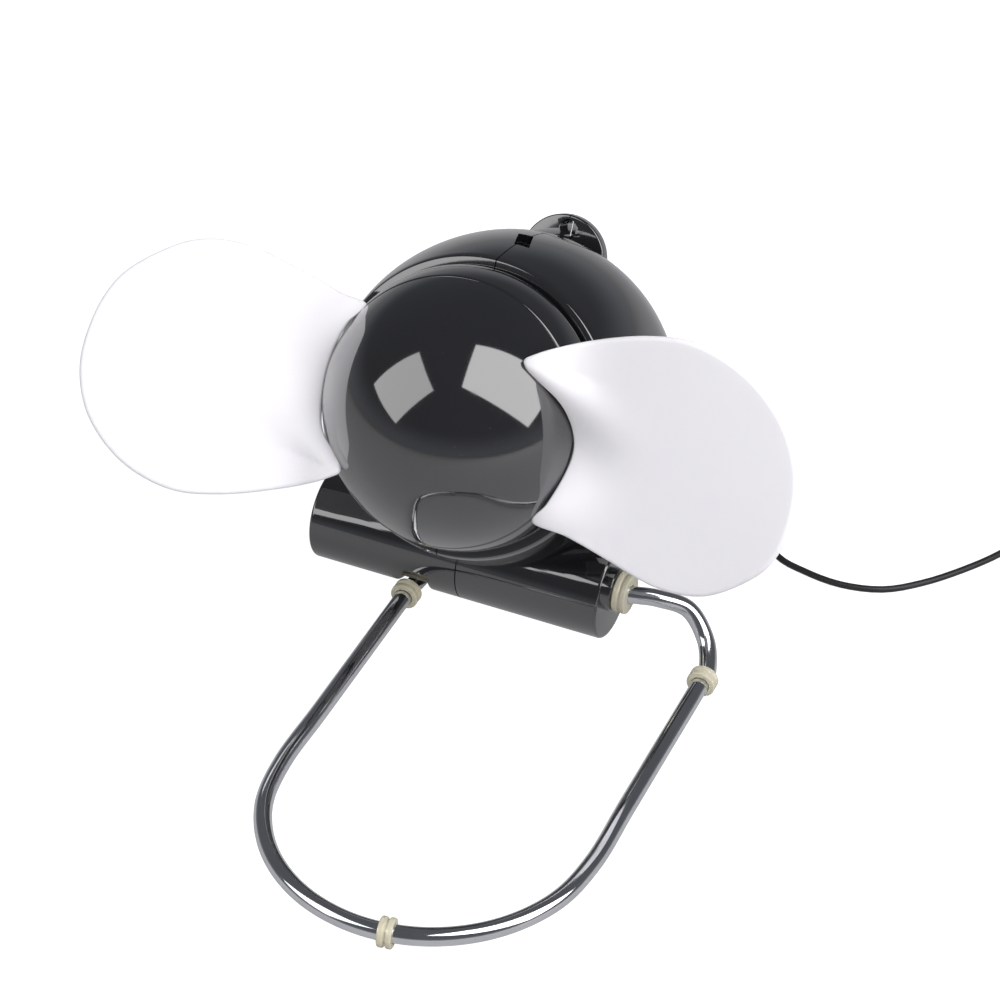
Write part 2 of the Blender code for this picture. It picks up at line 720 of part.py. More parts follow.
def loop_points():
    """The whole wire, from the inner end of its right pin to that of its left pin."""
    bend_r = LOOP_W / 2
    left, right = LOOP_X - LOOP_W / 2, LOOP_X + LOOP_W / 2
    start_y = LOOP_FRONT_Y + bend_r
    route = [(PIN_RIGHT_X, BORE_Y, BORE_Z), (28, BORE_Y, BORE_Z), (LOOP_X + 12, BORE_Y, BORE_Z),
             (LOOP_X + 15.7, BORE_Y, BORE_Z)]
    route += corner(1)
    route += [(right, RING_Y - 1.0, RING_R), (right, -38, RING_R), (right, -58, RING_R)]
    for i in range(9):
        angle = math.pi * i / 8
        route.append((LOOP_X + bend_r * math.cos(angle), start_y - bend_r * math.sin(angle), RING_R))
    route += [(left, -58, RING_R), (left, -38, RING_R), (left, RING_Y - 1.0, RING_R)]
    route += list(reversed(corner(-1)))
    route += [(LOOP_X - 15.7, BORE_Y, BORE_Z), (LOOP_X - 12, BORE_Y, BORE_Z), (PIN_LEFT_X, BORE_Y, BORE_Z)]
    return [world(*p) for p in smooth_points(route, 3)]


def wire_stand():
    """The bent wire, turned about the bore, so its origin is on the bore's axis."""
    local = [p - BORE / MM for p in loop_points()]
    return tube("wire_stand", local, WIRE_R, PARTS, 3, Matrix.Translation(BORE))


def stand_rings():
    """The clear sleeves: two at the rear of the legs, one at the front, and the barrel's bush."""
    inner = WIRE_R + GAP
    left, right = LOOP_X - LOOP_W / 2, LOOP_X + LOOP_W / 2
    turn, bend_r = math.radians(FRONT_RING_TURN), LOOP_W / 2
    front_at = (LOOP_X + bend_r * math.sin(turn), LOOP_FRONT_Y + bend_r * (1 - math.cos(turn)))
    made = [ring("ring_left", RING_R, inner, RING_LEN, world(left, RING_Y, RING_R), (0, 1, 0), PARTS),
            ring("ring_right", RING_R, inner, RING_LEN, world(right, RING_Y, RING_R), (0, 1, 0), PARTS),
            ring("ring_front", RING_R, inner, RING_LEN, world(*front_at, RING_R),
                 (math.cos(turn), math.sin(turn), 0), PARTS)]
    x = BARREL_RIGHT + BOSS_LEN + GAP + BUSH_LEN / 2
    made.append(ring("barrel_bush", BUSH_R, inner, BUSH_LEN, world(x, BORE_Y, BORE_Z), (1, 0, 0), PARTS))
    return made


# ---------------------------------------------------------------- cable

def rear_exit():
    """The point and direction where the cable leaves the housing, in world millimetres."""
    tip = REAR_Z
    point = HEAD @ (Vector((0, 0, tip)) * MM) / MM
    return point, -(HEAD.to_3x3() @ Vector((0, 0, 1)))


def strain_relief():
    """Rubber sleeve in the rear hole, with a flange inside and out and a tapered tail."""
    tip = REAR_Z
    inside = CABLE_R + GAP
    neck = RELIEF_R - 0.6
    flange = RELIEF_R + 0.6
    inner = tip + SHELL + 0.6
    profile = [(inside, inner + 1.3), (inside, tip - RELIEF_LEN), (CABLE_R + 0.8, tip - RELIEF_LEN),
               (RELIEF_R, tip - 2.0), (flange, tip - 1.9), (flange, tip - GAP), (neck, tip - GAP),
               (neck, inner), (flange, inner), (flange, inner + 1.3)]
    return turned("strain_relief", profile, PARTS, 18)


def leads():
    """Two insulated wires from the solder tags to the cable."""
    rear = MOTOR_FRONT_Z - MOTOR_LEN
    inner_end = REAR_Z + SHELL + 3.2
    made = []
    for name, side in (("lead_black", -1), ("lead_red", 1)):
        route = [(side * 7.0, 0, rear - 4.6), (side * 7.4, side * 2.0, rear - 12), (side * 5.0, side * 5.0, rear - 20),
                 (side * 2.4, side * 2.4, rear - 28), (side * 0.9, 0, inner_end)]
        made.append(tube(name, smooth_points(route, 4), 0.6, PARTS, 1, HEAD))
    return made


def cable_points():
    """The cable's route: out of the head, down to the table, past the head and to the coil."""
    point, out = rear_exit()
    start = point + out * (-(SHELL + 2.4))
    leave = point + out * (RELIEF_LEN + 1.0)
    table = CABLE_TABLE_Z
    route = [start, point, leave]
    rest = [(4.0, 71.5, 11.0), (13.0, 77.0, 4.6), (25.0, 75.0, 1.5), (37.0, 64.0, table), (48.0, 48.5, table),
            (59.5, 38.0, table), (67.5, 35.0, table), (77.0, 33.9, table), (86.4, 36.2, table),
            (94.0, 42.2, table), (101.0, 50.5, table), (107.3, 60.1, table), (111.0, 69.5, table),
            (COIL_AT[0] - coil_outer() + 0.6, COIL_AT[1] - 6.5, table)]
    route += [world(*p) for p in rest]
    return route


def coil_outer():
    """Outer radius of the coil's solid."""
    return COIL_R + COIL_TURNS_W * CABLE_R + GAP / 2


def coil_ring():
    """The outer shape of the coil that holds the cable's spare length."""
    outer = coil_outer()
    inner = 2 * COIL_R - outer
    high = COIL_TURNS_W * 2 * CABLE_R + GAP
    place = Matrix.Translation(world(*COIL_AT, CABLE_TABLE_Z - CABLE_R) * MM)
    return turned("cable_coil", [(inner, 0.0), (outer, 0.0), (outer, high), (inner, high)], PARTS, 28, place)


def usb_cable():
    """Cable from the housing to the coil, and from the coil to the plug."""
    made = [tube("usb_cable", smooth_points(cable_points(), 3), CABLE_R, PARTS, 2)]
    made.append(coil_ring())
    centre = world(*COIL_AT, 0)
    end = centre + Vector((*PLUG_FROM_COIL, plug_z()))
    right = coil_outer() - 0.6
    route = [centre + Vector((right, -6.5, 4.6)), centre + Vector((right + 0.2, -13, 2.6)),
             centre + Vector((right + 0.5, -19, 1.4)), centre + Vector((right + 0.8, -25, 2.2)), end]
    route[-1] = end - plug_ahead() * GAP
    made.append(tube("cable_tail", smooth_points(route, 5), CABLE_R, PARTS, 2))
    return made


def plug_z():
    return PLUG_BODY[2] / 2 + GAP


def plug_ahead():
    turn = math.radians(PLUG_TURN)
    return Vector((math.cos(turn), math.sin(turn), 0))


def usb_plug():
    """Moulded grip, metal shell and contact tongue of a USB-A plug."""
    at = world(*COIL_AT, 0) + Vector((*PLUG_FROM_COIL, plug_z()))
    place = Matrix.Translation(at * MM) @ Matrix.Rotation(math.radians(PLUG_TURN), 4, "Z")
    length, width, height = PLUG_BODY
    body = block("plug_body", (0, -width / 2, -height / 2), (length, width / 2, height / 2), PARTS, place)
    soft = body.modifiers.new("soft", "BEVEL")
    soft.width = 1.6 * MM
    soft.segments = 2
    s_len, s_w, s_h = PLUG_SHELL
    start = length + GAP
    shell = block("plug_shell", (start, -s_w / 2, -s_h / 2), (start + s_len, s_w / 2, s_h / 2), PARTS, place)
    skin = 0.35
    cut(shell, block("plug_shell_hollow", (start + 1.0, -s_w / 2 + skin, -s_h / 2 + skin),
                     (start + s_len + CUT, s_w / 2 - skin, s_h / 2 - skin), CUTTERS, place))
    t_len, t_w, t_h = PLUG_TONGUE
    base = start + 1.0 + GAP
    top = s_h / 2 - skin - GAP
    tongue = block("plug_tongue", (base, -t_w / 2, top - t_h), (base + t_len, t_w / 2, top), PARTS, place)
    return [body, shell, tongue]


# ---------------------------------------------------------------- whole

BLACK = ((0.012, 0.012, 0.014), 0.16)
FINISHES = {
    "black": BLACK,
    "foam": ((0.86, 0.85, 0.88), 0.75),
    "chrome": ((0.75, 0.76, 0.78), 0.12, 1.0),
    "steel": ((0.55, 0.56, 0.58), 0.3, 1.0),
    "brass": ((0.72, 0.55, 0.28), 0.3, 1.0),
    "copper": ((0.70, 0.35, 0.20), 0.35, 1.0),
    "ferrite": ((0.05, 0.05, 0.055), 0.6),
    "clear": ((0.80, 0.74, 0.58), 0.25),
    "nylon": ((0.85, 0.84, 0.80), 0.5),
    "rubber": ((0.02, 0.02, 0.02), 0.5),
    "red": ((0.5, 0.02, 0.02), 0.4),
}
KINDS = {
    "front_dome": "black", "rear_cup": "black", "hub_core": "brass", "blade_1": "foam", "blade_2": "foam",
    "motor_can": "steel", "motor_end_cap": "nylon", "bearing_front": "brass", "bearing_rear": "brass",
    "motor_shaft": "steel", "armature": "copper", "commutator": "copper", "magnet_1": "ferrite",
    "magnet_2": "ferrite", "terminal_1": "brass", "terminal_2": "brass", "motor_plate": "black",
    "motor_screw_1": "steel", "motor_screw_2": "steel", "housing_left": "black", "housing_right": "black",
    "case_screw_1": "steel", "case_screw_2": "steel", "wire_stand": "chrome",
    "ring_left": "clear", "ring_right": "clear", "ring_front": "clear", "barrel_bush": "clear",
    "strain_relief": "rubber", "lead_black": "rubber", "lead_red": "red", "usb_cable": "rubber",
    "cable_coil": "rubber", "cable_tail": "rubber", "plug_body": "rubber", "plug_shell": "steel",
    "plug_tongue": "nylon",
}


def main():
    dome, cup = front_dome(), rear_cup()
    hub_core()
    blades(dome, cup)
    can = motor()[0]
    motor_plate(can)
    housing()
    case_screws()
    wire_stand()
    stand_rings()
    strain_relief()
    leads()
    usb_cable()
    usb_plug()
    for obj in PARTS.objects:
        finish(obj, KINDS[obj.name])


PARTS, CUTTERS = clear_scene()
main()
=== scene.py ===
"""Looks of a small USB desk fan with a ball head, soft foam blades and a wire stand.

Lengths of the fan are millimetres and are turned into metres by MM where a mesh is made.
The lights' sizes and distance are metres, and patterns count waves in each metre.
The head is written in its own axes: origin at the middle of the front dome, local Z along
the fan's axis towards the front, local X as in the world. Layout points, such as those of
the wire and the cable, are world points whose Y still lacks LAYOUT_Y.
"""

import json
import logging
import math
from dataclasses import dataclass, field
from enum import Enum

import bmesh
import bpy
import numpy as np
from mathutils import Matrix, Vector


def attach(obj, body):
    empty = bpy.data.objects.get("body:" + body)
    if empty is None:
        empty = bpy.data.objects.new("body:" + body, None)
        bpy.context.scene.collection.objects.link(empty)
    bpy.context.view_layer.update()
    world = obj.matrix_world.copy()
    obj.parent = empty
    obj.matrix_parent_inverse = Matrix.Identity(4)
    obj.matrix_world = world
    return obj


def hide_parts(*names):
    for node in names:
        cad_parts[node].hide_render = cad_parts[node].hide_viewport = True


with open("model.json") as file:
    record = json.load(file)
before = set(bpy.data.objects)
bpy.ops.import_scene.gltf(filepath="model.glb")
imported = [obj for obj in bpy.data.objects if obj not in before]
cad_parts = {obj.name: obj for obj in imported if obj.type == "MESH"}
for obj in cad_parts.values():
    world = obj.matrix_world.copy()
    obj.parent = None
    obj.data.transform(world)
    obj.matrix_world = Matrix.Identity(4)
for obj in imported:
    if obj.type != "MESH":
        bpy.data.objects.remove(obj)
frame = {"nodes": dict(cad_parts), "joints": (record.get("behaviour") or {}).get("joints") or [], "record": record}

MM = 0.001
LOG = logging.getLogger("desk_fan")
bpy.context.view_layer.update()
JOINTS = {joint["name"]: joint for joint in frame["joints"]}


# ------------------------------------------------------------------ placing

@dataclass(frozen=True)
class Placement:
    """A set of local axes in the world, in millimetres.

    Args:
        origin: world place of the local origin.
        axes: 3x3 array whose columns are the local X, Y and Z directions.
    """

    origin: np.ndarray
    axes: np.ndarray

    def world(self, points: np.ndarray) -> np.ndarray:
        """Turn an (..., 3) array of local points into world points.

        Args:
            points: local points.

        Returns:
            The world points: origin plus axes times point.
        """
        return points @ self.axes.T + self.origin

    def moved(self, offset: tuple[float, float, float], z_to: str = "z") -> "Placement":
        """Return axes at a local offset, with local Z turned onto another local axis.

        Args:
            offset: place of the new origin in these axes.
            z_to: the axis that the new Z lies along: "x" or "z".

        Returns:
            The moved placement.
        """
        columns = {"z": (0, 1, 2), "x": (1, 2, 0)}[z_to]
        return Placement(self.world(np.array(offset, float)), self.axes[:, columns])


def joint_point(name: str) -> np.ndarray:
    """Place of a joint in the world, in millimetres."""
    return np.array(JOINTS[name]["pos_m"], float) / MM


def head_placement() -> Placement:
    """Return the head's axes: Z along the fan's axis, X as in the world, Y = Z x X."""
    forward = np.array(JOINTS["fan_spin"]["axis"], float)
    across = np.array([1.0, 0.0, 0.0])
    axes = np.stack([across, np.cross(forward, across), forward], 1)
    return Placement(joint_point("fan_spin"), axes)


HEAD = head_placement()
LAYOUT_TO_HEAD = 6.1
LAYOUT_Y = HEAD.origin[1] + LAYOUT_TO_HEAD
TABLE = Placement(np.array([0.0, LAYOUT_Y, 0.0]), np.eye(3))


# ------------------------------------------------------------------ meshes

def unit(vectors: np.ndarray) -> np.ndarray:
    """Scale vectors along the last axis to length one."""
    return vectors / np.linalg.norm(vectors, axis=-1, keepdims=True)


def grid_faces(rows: int, columns: int, closed_rows: bool, closed_columns: bool) -> np.ndarray:
    """Return the quads of a grid of rows x columns points, numbered row by row.

    Args:
        rows: number of rows.
        columns: number of points in a row.
        closed_rows: whether the last row joins the first.
        closed_columns: whether the last point of a row joins its first.

    Returns:
        An (n, 4) array of point numbers.
    """
    row = np.arange(rows if closed_rows else rows - 1)
    column = np.arange(columns if closed_columns else columns - 1)
    r, c = np.meshgrid(row, column, indexing="ij")
    down, right = (r + 1) % rows, (c + 1) % columns
    corners = [r * columns + c, down * columns + c, down * columns + right, r * columns + right]
    return np.stack([corner.ravel() for corner in corners], 1)


def mesh_object(name: str, points: np.ndarray, faces: np.ndarray, sharp: float = 40.0) -> bpy.types.Object:
    """Make an object from world points and quads, merge its poles and face it outwards.

    Args:
        name: name of the object.
        points: (n, 3) world points in millimetres.
        faces: (m, 4) point numbers.
        sharp: edges that turn more degrees than this stay sharp.

    Returns:
        The object, at the origin, smooth shaded.
    """
    mesh = bpy.data.meshes.new(name)
    mesh.vertices.add(len(points))
    mesh.vertices.foreach_set("co", (points * MM).astype(np.float32).ravel())
    mesh.loops.add(faces.size)
    mesh.loops.foreach_set("vertex_index", faces.astype(np.int32).ravel())
    mesh.polygons.add(len(faces))
    mesh.polygons.foreach_set("loop_start", np.arange(0, faces.size, 4, dtype=np.int32))
    mesh.update(calc_edges=True)
    form = bmesh.new()
    form.from_mesh(mesh)
    bmesh.ops.remove_doubles(form, verts=form.verts, dist=1e-7)
    bmesh.ops.recalc_face_normals(form, faces=form.faces)
    form.to_mesh(mesh)
    form.free()
    obj = bpy.data.objects.new(name, mesh)
    bpy.context.scene.collection.objects.link(obj)
    shade(obj, sharp)
    return obj


def shade(obj: bpy.types.Object, sharp: float) -> None:
    """Shade smooth, with edges sharp where they turn more than some degrees."""
    obj.data.shade_smooth()
    obj.data.set_sharp_from_angle(angle=math.radians(sharp))


def revolve(name: str, profile: np.ndarray, place: Placement, steps: int = 128,
            sharp: float = 40.0) -> bpy.types.Object:
    """Turn a closed profile about local Z: point (r, z) goes to (r cos a, r sin a, z).

    Args:
        name: name of the object.
        profile: (n, 2) radii and heights, a loop, or a line from axis to axis.
        place: axes that the profile is turned in.
        steps: number of steps round the axis.
        sharp: edges that turn more degrees than this stay sharp.

    Returns:
        The turned solid.
    """
    angle = np.arange(steps) * 2 * np.pi / steps
    radius, height = profile[:, :1], profile[:, 1:]
    points = np.stack([radius * np.cos(angle), radius * np.sin(angle), height + 0 * angle], -1)
    open_line = profile[0, 0] < 1e-9 and profile[-1, 0] < 1e-9
    faces = grid_faces(len(profile), steps, not open_line, True)
    return mesh_object(name, place.world(points.reshape(-1, 3)), faces, sharp)


def rounded(profile: list[tuple[float, float, float]], steps: int = 6) -> np.ndarray:
    """Round the corners of a closed profile with arcs.

    Each corner (r, z, radius) becomes a quadratic curve between the points that lie
    its radius away along the two sides that meet there.

    Args:
        profile: corners as radius from the axis, height and rounding.
        steps: points on each rounded corner.

    Returns:
        An (n, 2) array.
    """
    corners = np.array(profile)
    spots, bend = corners[:, :2], corners[:, 2:]
    before = spots + unit(np.roll(spots, 1, 0) - spots + 1e-12) * bend
    after = spots + unit(np.roll(spots, -1, 0) - spots + 1e-12) * bend
    t = np.linspace(0, 1, steps)[None, :, None]
    curves = before[:, None] * (1 - t) ** 2 + 2 * spots[:, None] * t * (1 - t) + after[:, None] * t ** 2
    kept = np.ones((len(spots), steps), bool)
    kept[bend[:, 0] == 0, 1:] = False
    return curves[kept]


def smooth_curve(points: np.ndarray, per_span: int, closed: bool = False) -> np.ndarray:
    """Return points of a Catmull-Rom curve through the given ones.

    Args:
        points: (n, d) points that the curve passes.
        per_span: points made for each span.
        closed: whether the last point joins the first.

    Returns:
        The curve's points, with the last one where the curve is open.
    """
    points = np.asarray(points, float)
    if closed:
        p0, p1, p2, p3 = (np.roll(points, -k, 0)[:, None] for k in (-1, 0, 1, 2))
    else:
        ends = np.concatenate([points[:1] * 2 - points[1:2], points, points[-1:] * 2 - points[-2:-1]])
        p0, p1, p2, p3 = (ends[k:len(ends) - 3 + k][:, None] for k in range(4))
    t = (np.arange(per_span) / per_span)[None, :, None]
    curve = 0.5 * (2 * p1 + (p2 - p0) * t + (2 * p0 - 5 * p1 + 4 * p2 - p3) * t ** 2
                   + (3 * p1 - p0 - 3 * p2 + p3) * t ** 3)
    curve = curve.reshape(-1, points.shape[1])
    return curve if closed else np.concatenate([curve, points[-1:]])


def sweep(name: str, path: np.ndarray, radius: float, sides: int = 20,
          bevel: float = 0.0) -> bpy.types.Object:
    """Carry a circle along a path, with a frame kept upright by world Z.

    The circle's own axes are side = tangent x Z and top = side x tangent. Both ends are
    flat: two more rings at each one narrow by the bevel and then to the middle.

    Args:
        name: name of the object.
        path: (n, 3) world points.
        radius: radius of the tube.
        sides: points round the tube.
        bevel: chamfer on the edges of the ends.

    Returns:
        The closed tube.
    """
    tangent = unit(np.gradient(path, axis=0))
    side = unit(np.cross(tangent, [0.0, 0.0, 1.0]))
    top = np.cross(side, tangent)
    at = np.pad(np.arange(len(path)), 2, mode="edge")
    centres = path[at]
    centres[2] = path[0] + tangent[0] * bevel
    centres[-3] = path[-1] - tangent[-1] * bevel
    radii = np.concatenate([[0.0, radius - bevel], np.full(len(path), radius), [radius - bevel, 0.0]])
    angle = (np.arange(sides) * 2 * np.pi / sides)[:, None]
    ring = np.cos(angle) * side[at][:, None] + np.sin(angle) * top[at][:, None]
    points = centres[:, None] + radii[:, None, None] * ring
    return mesh_object(name, points.reshape(-1, 3), grid_faces(len(centres), sides, False, True))


def box_object(name: str, low: tuple[float, float, float], high: tuple[float, float, float],
               place: Placement, slant: float = 0.0) -> bpy.types.Object:
    """Make a plain box between two local corners, which is only used to join or cut with.

    Args:
        name: name of the box.
        low: its lowest corner.
        high: its highest corner.
        place: axes that the corners are in.
        slant: shift of X for each unit of Z from the middle.

    Returns:
        The box.
    """
    low, high = np.array(low, float), np.array(high, float)
    sides = np.array([[x, y] for x, y in ((0, 0), (1, 0), (1, 1), (0, 1))], float)
    rows = [np.full((4, 2), 0.5), sides, sides, np.full((4, 2), 0.5)]
    heights = [0.0, 0.0, 1.0, 1.0]
    cells = np.concatenate([np.column_stack([row, np.full(4, h)]) for row, h in zip(rows, heights)])
    points = low + cells * (high - low)
    points[:, 0] += slant * (points[:, 2] - (low[2] + high[2]) / 2)
    return mesh_object(name, place.world(points), grid_faces(4, 4, False, True))


def rod(name: str, radius: float, low: float, high: float, place: Placement,
        steps: int = 64) -> bpy.types.Object:
    """Make a plain round bar along local Z, which is only used to join or cut with."""
    profile = np.array([[0.0, low], [radius, low], [radius, high], [0.0, high]])
    return revolve(name, profile, place, steps)


def combine(obj: bpy.types.Object, other: bpy.types.Object, operation: str) -> None:
    """Apply an exact boolean to an object and remove the other one.

    Args:
        obj: object that is changed.
        other: object that cuts or joins it.
        operation: UNION, DIFFERENCE or INTERSECT.
    """
    step = obj.modifiers.new("step", "BOOLEAN")
    step.operation = operation
    step.object = other
    step.solver = "EXACT"
    bpy.context.view_layer.update()
    graph = bpy.context.evaluated_depsgraph_get()
    made = bpy.data.meshes.new_from_object(obj.evaluated_get(graph))
    obj.modifiers.clear()
    obj.data = made
    bpy.data.objects.remove(other, do_unlink=True)


def trim(obj: bpy.types.Object, x: float, keep: int) -> None:
    """Cut an object at a plane across world X, close the cut and drop one side.

    Args:
        obj: object that is cut.
        x: where the plane lies, in millimetres.
        keep: 1 to keep the side of higher X and -1 to keep the other.
    """
    form = bmesh.new()
    form.from_mesh(obj.data)
    every = form.verts[:] + form.edges[:] + form.faces[:]
    cut = bmesh.ops.bisect_plane(form, geom=every, dist=1e-7, plane_co=(x * MM, 0, 0),
                                 plane_no=(-keep, 0, 0), clear_outer=True)["geom_cut"]
    rims = [item for item in cut if isinstance(item, bmesh.types.BMEdge)]
    bmesh.ops.triangle_fill(form, edges=rims, use_beauty=True, normal=(-keep, 0, 0))
    bmesh.ops.recalc_face_normals(form, faces=form.faces)
    form.to_mesh(obj.data)
    form.free()


# ------------------------------------------------------------------ finishes

class Pattern(Enum):
    """Node groups that the finishes share."""

    GRAIN = "fine_grain"
    MOTTLE = "tone_mottle"
    DUST = "dust_specks"
    SCUFF = "hairline_scuffs"


def new_group(pattern: Pattern, inputs: dict[str, float], outputs: list[str]) -> tuple:
    """Start a shader node group with a Vector input, numbers as inputs and value outputs.

    Args:
        pattern: which group.
        inputs: names and defaults of its number inputs.
        outputs: names of its value outputs.

    Returns:
        The group, its input node and its output node.
    """
    group = bpy.data.node_groups.new(pattern.value, "ShaderNodeTree")
    group.interface.new_socket("Vector", in_out="INPUT", socket_type="NodeSocketVector")
    for name, value in inputs.items():
        group.interface.new_socket(name, in_out="INPUT", socket_type="NodeSocketFloat").default_value = value
    for name in outputs:
        group.interface.new_socket(name, in_out="OUTPUT", socket_type="NodeSocketFloat")
    return group, group.nodes.new("NodeGroupInput"), group.nodes.new("NodeGroupOutput")


def noise(group: bpy.types.NodeTree, vector, scale, detail: float) -> bpy.types.Node:
    """Add a noise node with its vector and scale wired."""
    node = group.nodes.new("ShaderNodeTexNoise")
    node.inputs["Detail"].default_value = detail
    group.links.new(vector, node.inputs["Vector"])
    group.links.new(scale, node.inputs["Scale"])
    return node


def math_node(group: bpy.types.NodeTree, operation: str, *values) -> bpy.types.NodeSocket:
    """Add a math node; each value is a socket or a number.

    Args:
        group: tree that gets the node.
        operation: name of the operation.
        values: its inputs in order.

    Returns:
        The node's output socket.
    """
    node = group.nodes.new("ShaderNodeMath")
    node.operation = operation
    for slot, value in zip(node.inputs, values):
        if isinstance(value, (int, float)):
            slot.default_value = value
        else:
            group.links.new(value, slot)
    return node.outputs[0]


def ramp(group: bpy.types.NodeTree, value, low: float, high: float) -> bpy.types.NodeSocket:
    """Map a value so that low gives 0 and high gives 1, clamped."""
    node = group.nodes.new("ShaderNodeMapRange")
    node.inputs["From Min"].default_value = low
    node.inputs["From Max"].default_value = high
    group.links.new(value, node.inputs["Value"])
    return node.outputs["Result"]


def build_patterns() -> dict[Pattern, bpy.types.NodeTree]:
    """Build the four shared node groups.

    Returns:
        Each pattern's group. Grain gives a height, mottle a slow tone, dust a mask of
        small specks in patches, and scuff a mask of faint hairlines along one way.
    """
    made = {}
    group, start, end = new_group(Pattern.GRAIN, {"Scale": 900.0}, ["Height"])
    fine = noise(group, start.outputs["Vector"], start.outputs["Scale"], 3.0)
    group.links.new(fine.outputs["Fac"], end.inputs["Height"])
    made[Pattern.GRAIN] = group

    group, start, end = new_group(Pattern.MOTTLE, {"Scale": 60.0}, ["Tone"])
    slow = noise(group, start.outputs["Vector"], start.outputs["Scale"], 4.0)
    group.links.new(ramp(group, slow.outputs["Fac"], 0.3, 0.7), end.inputs["Tone"])
    made[Pattern.MOTTLE] = group

    group, start, end = new_group(Pattern.DUST, {"Scale": 900.0, "Size": 0.12}, ["Mask"])
    cells = group.nodes.new("ShaderNodeTexVoronoi")
    group.links.new(start.outputs["Vector"], cells.inputs["Vector"])
    group.links.new(start.outputs["Scale"], cells.inputs["Scale"])
    near = math_node(group, "LESS_THAN", cells.outputs["Distance"], start.outputs["Size"])
    wide = math_node(group, "MULTIPLY", start.outputs["Scale"], 0.06)
    patch = noise(group, start.outputs["Vector"], wide, 2.0)
    where = ramp(group, patch.outputs["Fac"], 0.52, 0.62)
    group.links.new(math_node(group, "MULTIPLY", near, where), end.inputs["Mask"])
    made[Pattern.DUST] = group

    group, start, end = new_group(Pattern.SCUFF, {"Scale": 300.0}, ["Mask"])
    stretch = group.nodes.new("ShaderNodeMapping")
    stretch.inputs["Rotation"].default_value = (0.4, 0.2, 0.7)
    stretch.inputs["Scale"].default_value = (1.0, 0.05, 1.0)
    group.links.new(start.outputs["Vector"], stretch.inputs["Vector"])
    lines = noise(group, stretch.outputs["Vector"], start.outputs["Scale"], 2.0)
    group.links.new(ramp(group, lines.outputs["Fac"], 0.66, 0.74), end.inputs["Mask"])
    made[Pattern.SCUFF] = group
    return made


PATTERNS = build_patterns()


